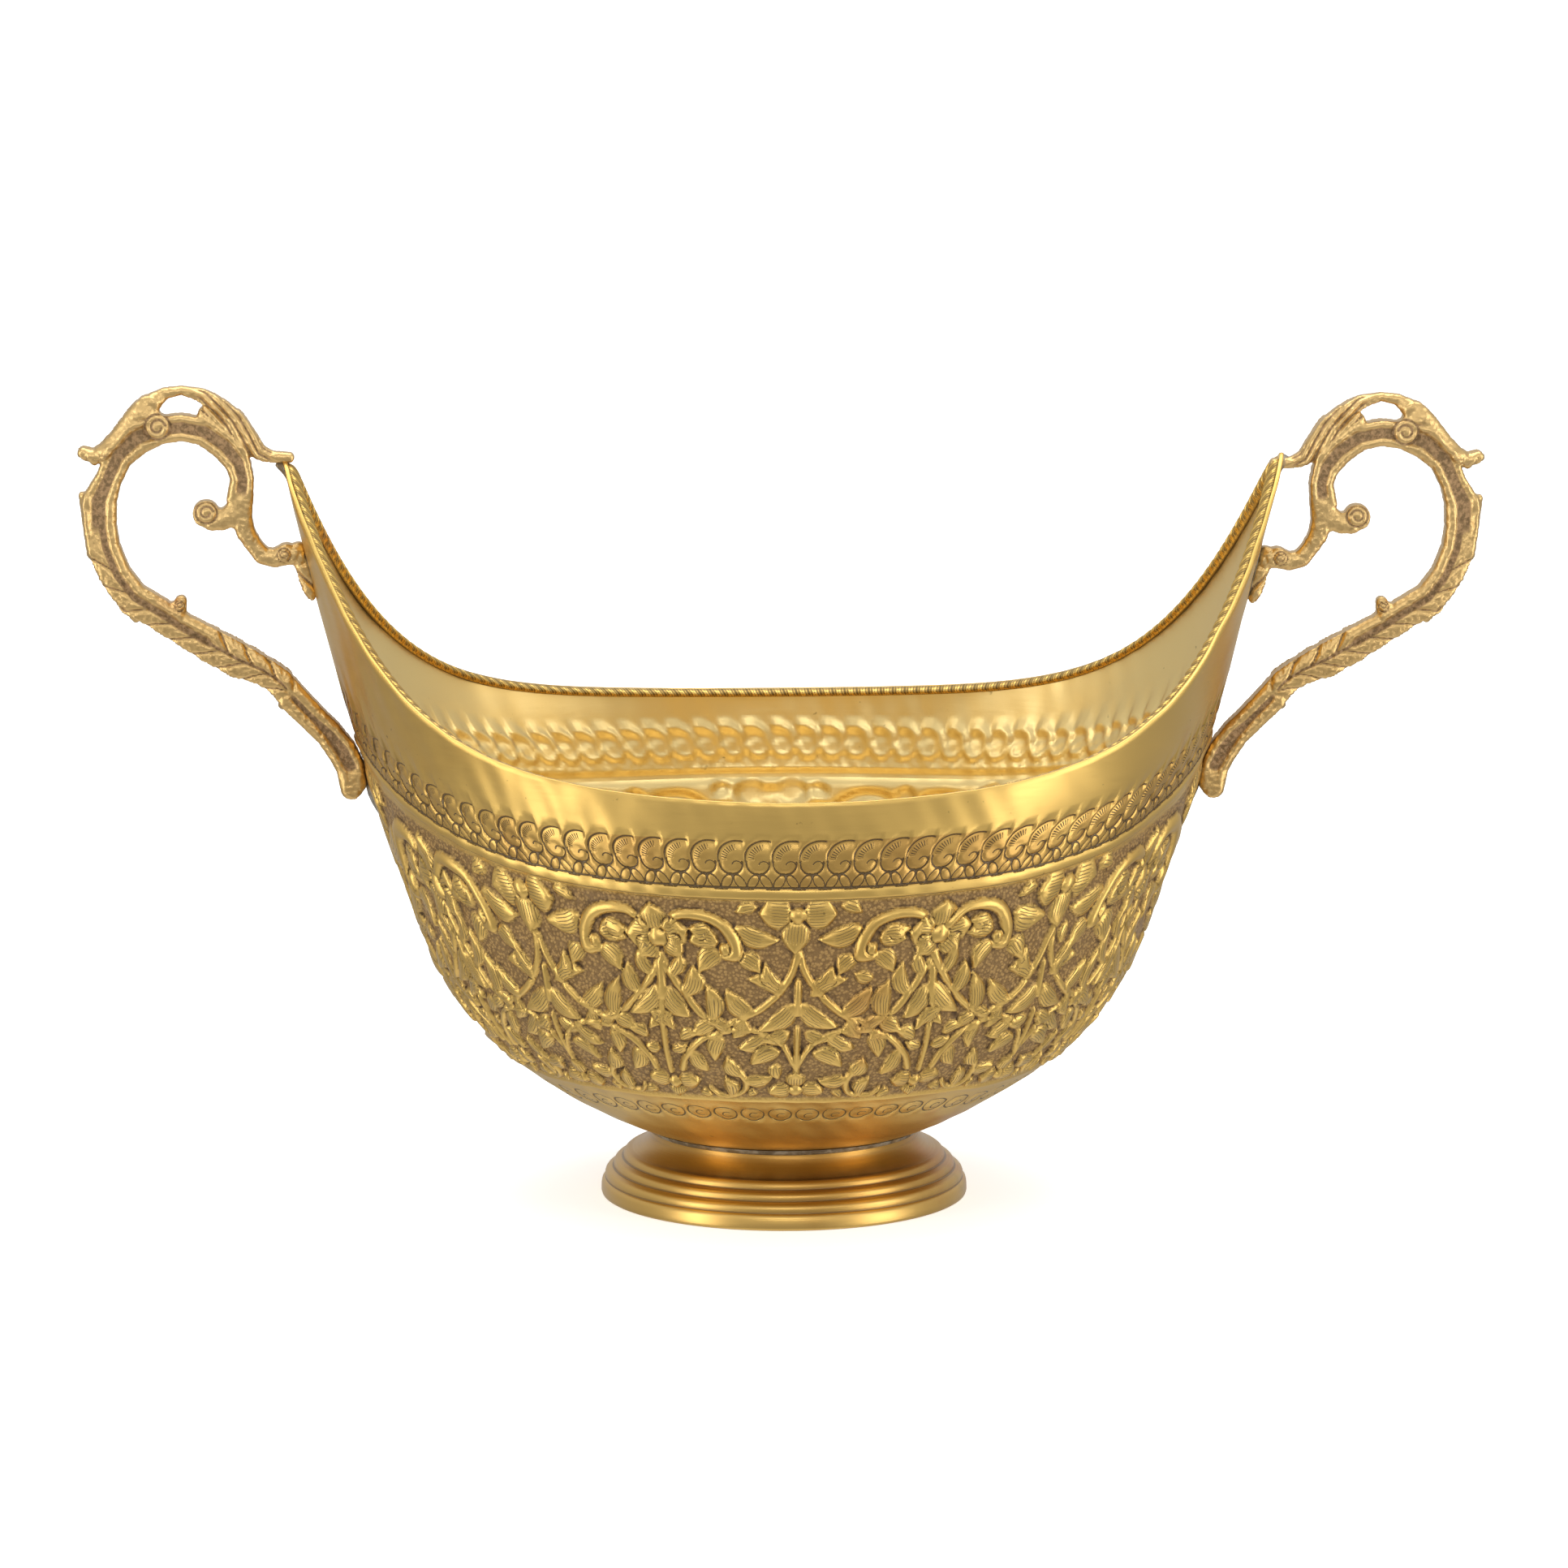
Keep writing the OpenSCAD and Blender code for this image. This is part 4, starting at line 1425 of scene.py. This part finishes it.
def chased_finish():
    f = Finish("chased_brass")
    # Painted shade: the bowl is darker towards its base, up to about three centimetres high
    tone, clouds = rubbed_brass(f, low=-0.02, high=0.03)
    ground, crease = f.attribute("ground"), f.attribute("crease")
    inside = f.attribute("inside")
    outside = 1.0 - inside
    # Painted light: the inside is painted paler and yellower than the outside brass
    tone = f.mix(inside * 0.8, tone, INSIDE_PAINTED_PALER)
    x, y = punch_cell(f, "stamps", COMMA_PITCH)
    lines, hatch = comma_lines(x, y)
    band = y.rise(0.4, 0.7) * y.rise(13.9, 13.5)
    stain = f.noise(30.0, 4.0, 0.6, stretch=(1, 1, 0.6)).rise(0.38, 0.6)
    tone = f.mix(band * outside * (0.25 + stain * 0.45), tone, BAND_STAIN)
    lines = lines.either(petal_lines(x, y)) * band
    lines = lines.either((y - 1.0).size().rise(0.3, 0.12)).either((y + 2.3).size().rise(0.22, 0.1) * 0.7)
    cx, cy = punch_cell(f, "curls", CURL_PITCH)
    curl, _, _ = ring_line(cx, cy, CURL_RING, 0.13)
    inner_curl, ix, _ = ring_line(cx, cy, (CURL_RING[0] + 0.4, -0.3, 1.1), 0.11)
    lines = lines.either(curl).either(inner_curl * ix.rise(0.9, 0.5))
    across, along = f.attribute("across"), f.attribute("along")
    vein = ((across * (1 / 0.85)).math("FRACT") - 0.5).size().rise(0.17, 0.07)
    vein = vein * along.rise(0.12, 0.22) * along.rise(0.72, 0.55) * f.attribute("flower") * (1.0 - ground)
    stipple = f.node("ShaderNodeTexVoronoi", Vector=f.place(), Scale=1050.0)
    grain = f.noise(1500.0, 3.0, 0.6)
    matted = ground * outside
    marks = (lines.either(hatch * band) * outside).either(vein * 0.75)
    dirt = f.mix(stipple.rise(0.28, 0.62), GROUND_WORN, GROUND_BROWN)
    tone = f.mix(matted * 0.92, tone, dirt)
    tone = f.mix(crease.rise(0.12, 0.5) * outside * 0.9, tone, CREASE_DARK)
    tone = f.mix(crease.rise(0.2, 0.9) * inside * 0.2, tone, CREASE_INSIDE)
    tone = f.mix(marks * 0.88, tone, PITCH_DARK)
    tone = f.clouded(tone, SPECK_BROWN, 0.5, 0.72, 0.8, 420.0, 2.0, 0.5)
    brushed = f.noise(70.0, 4.0, 0.7, stretch=(1, 1, 14))
    rough = 0.27 + clouds * 0.1 + brushed * 0.12 + matted * 0.22 + crease * 0.15
    metal = 1.0 - (matted * 0.35).either(marks * 0.5)
    relief = (stipple * -1.0 + grain * 0.5) * matted
    shaped = f.bump(relief, 0.00045, 1.0)
    shaped = f.bump(marks * -1.0, 0.00035, 0.9, shaped)
    shaped = f.bump(brushed + f.noise(240.0, 3.0, 0.5) * 0.6, 0.00005, 0.5, shaped)
    return f.finish(Base_Color=tone, Metallic=metal, Roughness=rough, Normal=shaped, Coat_Weight=0.12,
                    Coat_Roughness=0.3)


# %% [markdown]
# ## Other finishes
# The rope strip is bright on its flutes and black between them. The foot keeps the fine rings
# of the lathe. The castings keep sand grain and dirt in the carving. Solder is dull grey.

# %% Other finishes
def rope_finish():
    f = Finish("rope_brass")
    tone, clouds = rubbed_brass(f)
    groove, down = f.attribute("groove"), f.attribute("down")
    black = (groove.rise(0.2, 0.8) * 0.85).either(down.rise(0.9, 0.99))
    tone = f.mix(black * 0.85, tone, PITCH_DARK)
    tone = f.clouded(tone, ROPE_GREY, 0.7, 0.66, 0.7, 36.0, 3.0, 0.5)
    return f.finish(Base_Color=tone, Metallic=1.0 - black * 0.5, Roughness=0.3 + clouds * 0.15 + black * 0.25,
                    Normal=f.bump(f.noise(900.0, 2.0), 0.00006, 0.5))


def turned_finish():
    f = Finish("turned_brass")
    # Painted shade: pale at the foot's band, darker going up towards the neck under the bowl
    tone, clouds = rubbed_brass(f, FOOT_PALE, FOOT_DEEP_AND_NECK_SHADE, 0.02, 0.004)
    lathe = f.noise(90.0, 4.0, 0.75, stretch=(0.04, 0.04, 60))
    hollow = f.node("ShaderNodeNewGeometry", output="Pointiness").rise(0.497, 0.47)
    tone = f.mix(hollow * 0.7, tone, FOOT_HOLLOW)
    tone = f.clouded(tone, FOOT_GREEN, 0.35, 0.6, 0.72, 24.0, 3.0, 0.5)
    return f.finish(Base_Color=tone, Metallic=1.0 - hollow * 0.3,
                    Roughness=0.2 + lathe * 0.14 + clouds * 0.08, Normal=f.bump(lathe, 0.00006, 0.6),
                    Coat_Weight=0.1, Coat_Roughness=0.3)


def cast_finish():
    f = Finish("cast_brass")
    # Painted shade: the handles are darker low down and paler towards their tops
    tone, clouds = rubbed_brass(f, CAST_PALE, CAST_DEEP_AND_LOW_SHADE, 0.09, 0.2)
    recess = f.attribute("recess")
    grain = f.noise(900.0, 4.0, 0.65)
    dirt = (recess + (grain - 0.5) * 0.7).rise(0.2, 0.7)
    tone = f.mix(dirt * 0.85, tone, f.mix(grain.rise(0.4, 0.62), CAST_DIRT, CAST_DUST))
    tone = f.clouded(tone, CAST_STAIN, 0.35, 0.6, 0.75, 300.0, 3.0)
    bump = f.bump(grain, 0.0004, 0.35 + recess * 0.6)
    return f.finish(Base_Color=tone, Metallic=1.0 - dirt * 0.35, Roughness=0.3 + clouds * 0.12 + dirt * 0.25,
                    Normal=f.bump(f.noise(260.0, 3.0), 0.0003, 0.35, bump), Coat_Weight=0.1,
                    Coat_Roughness=0.3)


def solder_finish():
    f = Finish("solder")
    lumps = f.noise(260.0, 4.0, 0.6)
    tone = f.mix(lumps.rise(0.4, 0.62), SOLDER_DARK, SOLDER_PALE)
    tone = f.clouded(tone, SOLDER_BRASS, 0.7, 0.55, 0.7, 120.0, 3.0)
    return f.finish(Base_Color=tone, Metallic=0.85, Roughness=0.42 + lumps * 0.2,
                    Normal=f.bump(lumps, 0.0008, 0.8))


FINISHES = {"chased_brass": chased_finish(), "rope_brass": rope_finish(), "turned_brass": turned_finish(),
            "cast_brass": cast_finish(), "solder": solder_finish()}

# %% [markdown]
# ## Assembly
# Each new piece takes its finish, rides on the one body and stands for its drawn part. The
# solder keeps its drawn shape and only takes the finish.

# %% Assembly
PIECES = [
    (bowl_base, "chased_brass", "bowl_shell"), (bowl_belly, "chased_brass", "bowl_shell"),
    (bowl_collar, "chased_brass", "bowl_shell"), (rim_front, "rope_brass", "rim_wire_front"),
    (rim_back, "rope_brass", "rim_wire_back"), (foot, "turned_brass", "foot"),
    (handle_right, "cast_brass", "handle_right"), (handle_left, "cast_brass", "handle_left"),
]
for piece, slot_name, node in PIECES:
    piece.data.materials.clear()
    piece.data.materials.append(FINISHES[slot_name])
    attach(piece, "root")
    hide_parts(node)
for name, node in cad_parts.items():
    if name.startswith("solder"):
        node.data.materials.clear()
        node.data.materials.append(FINISHES["solder"])
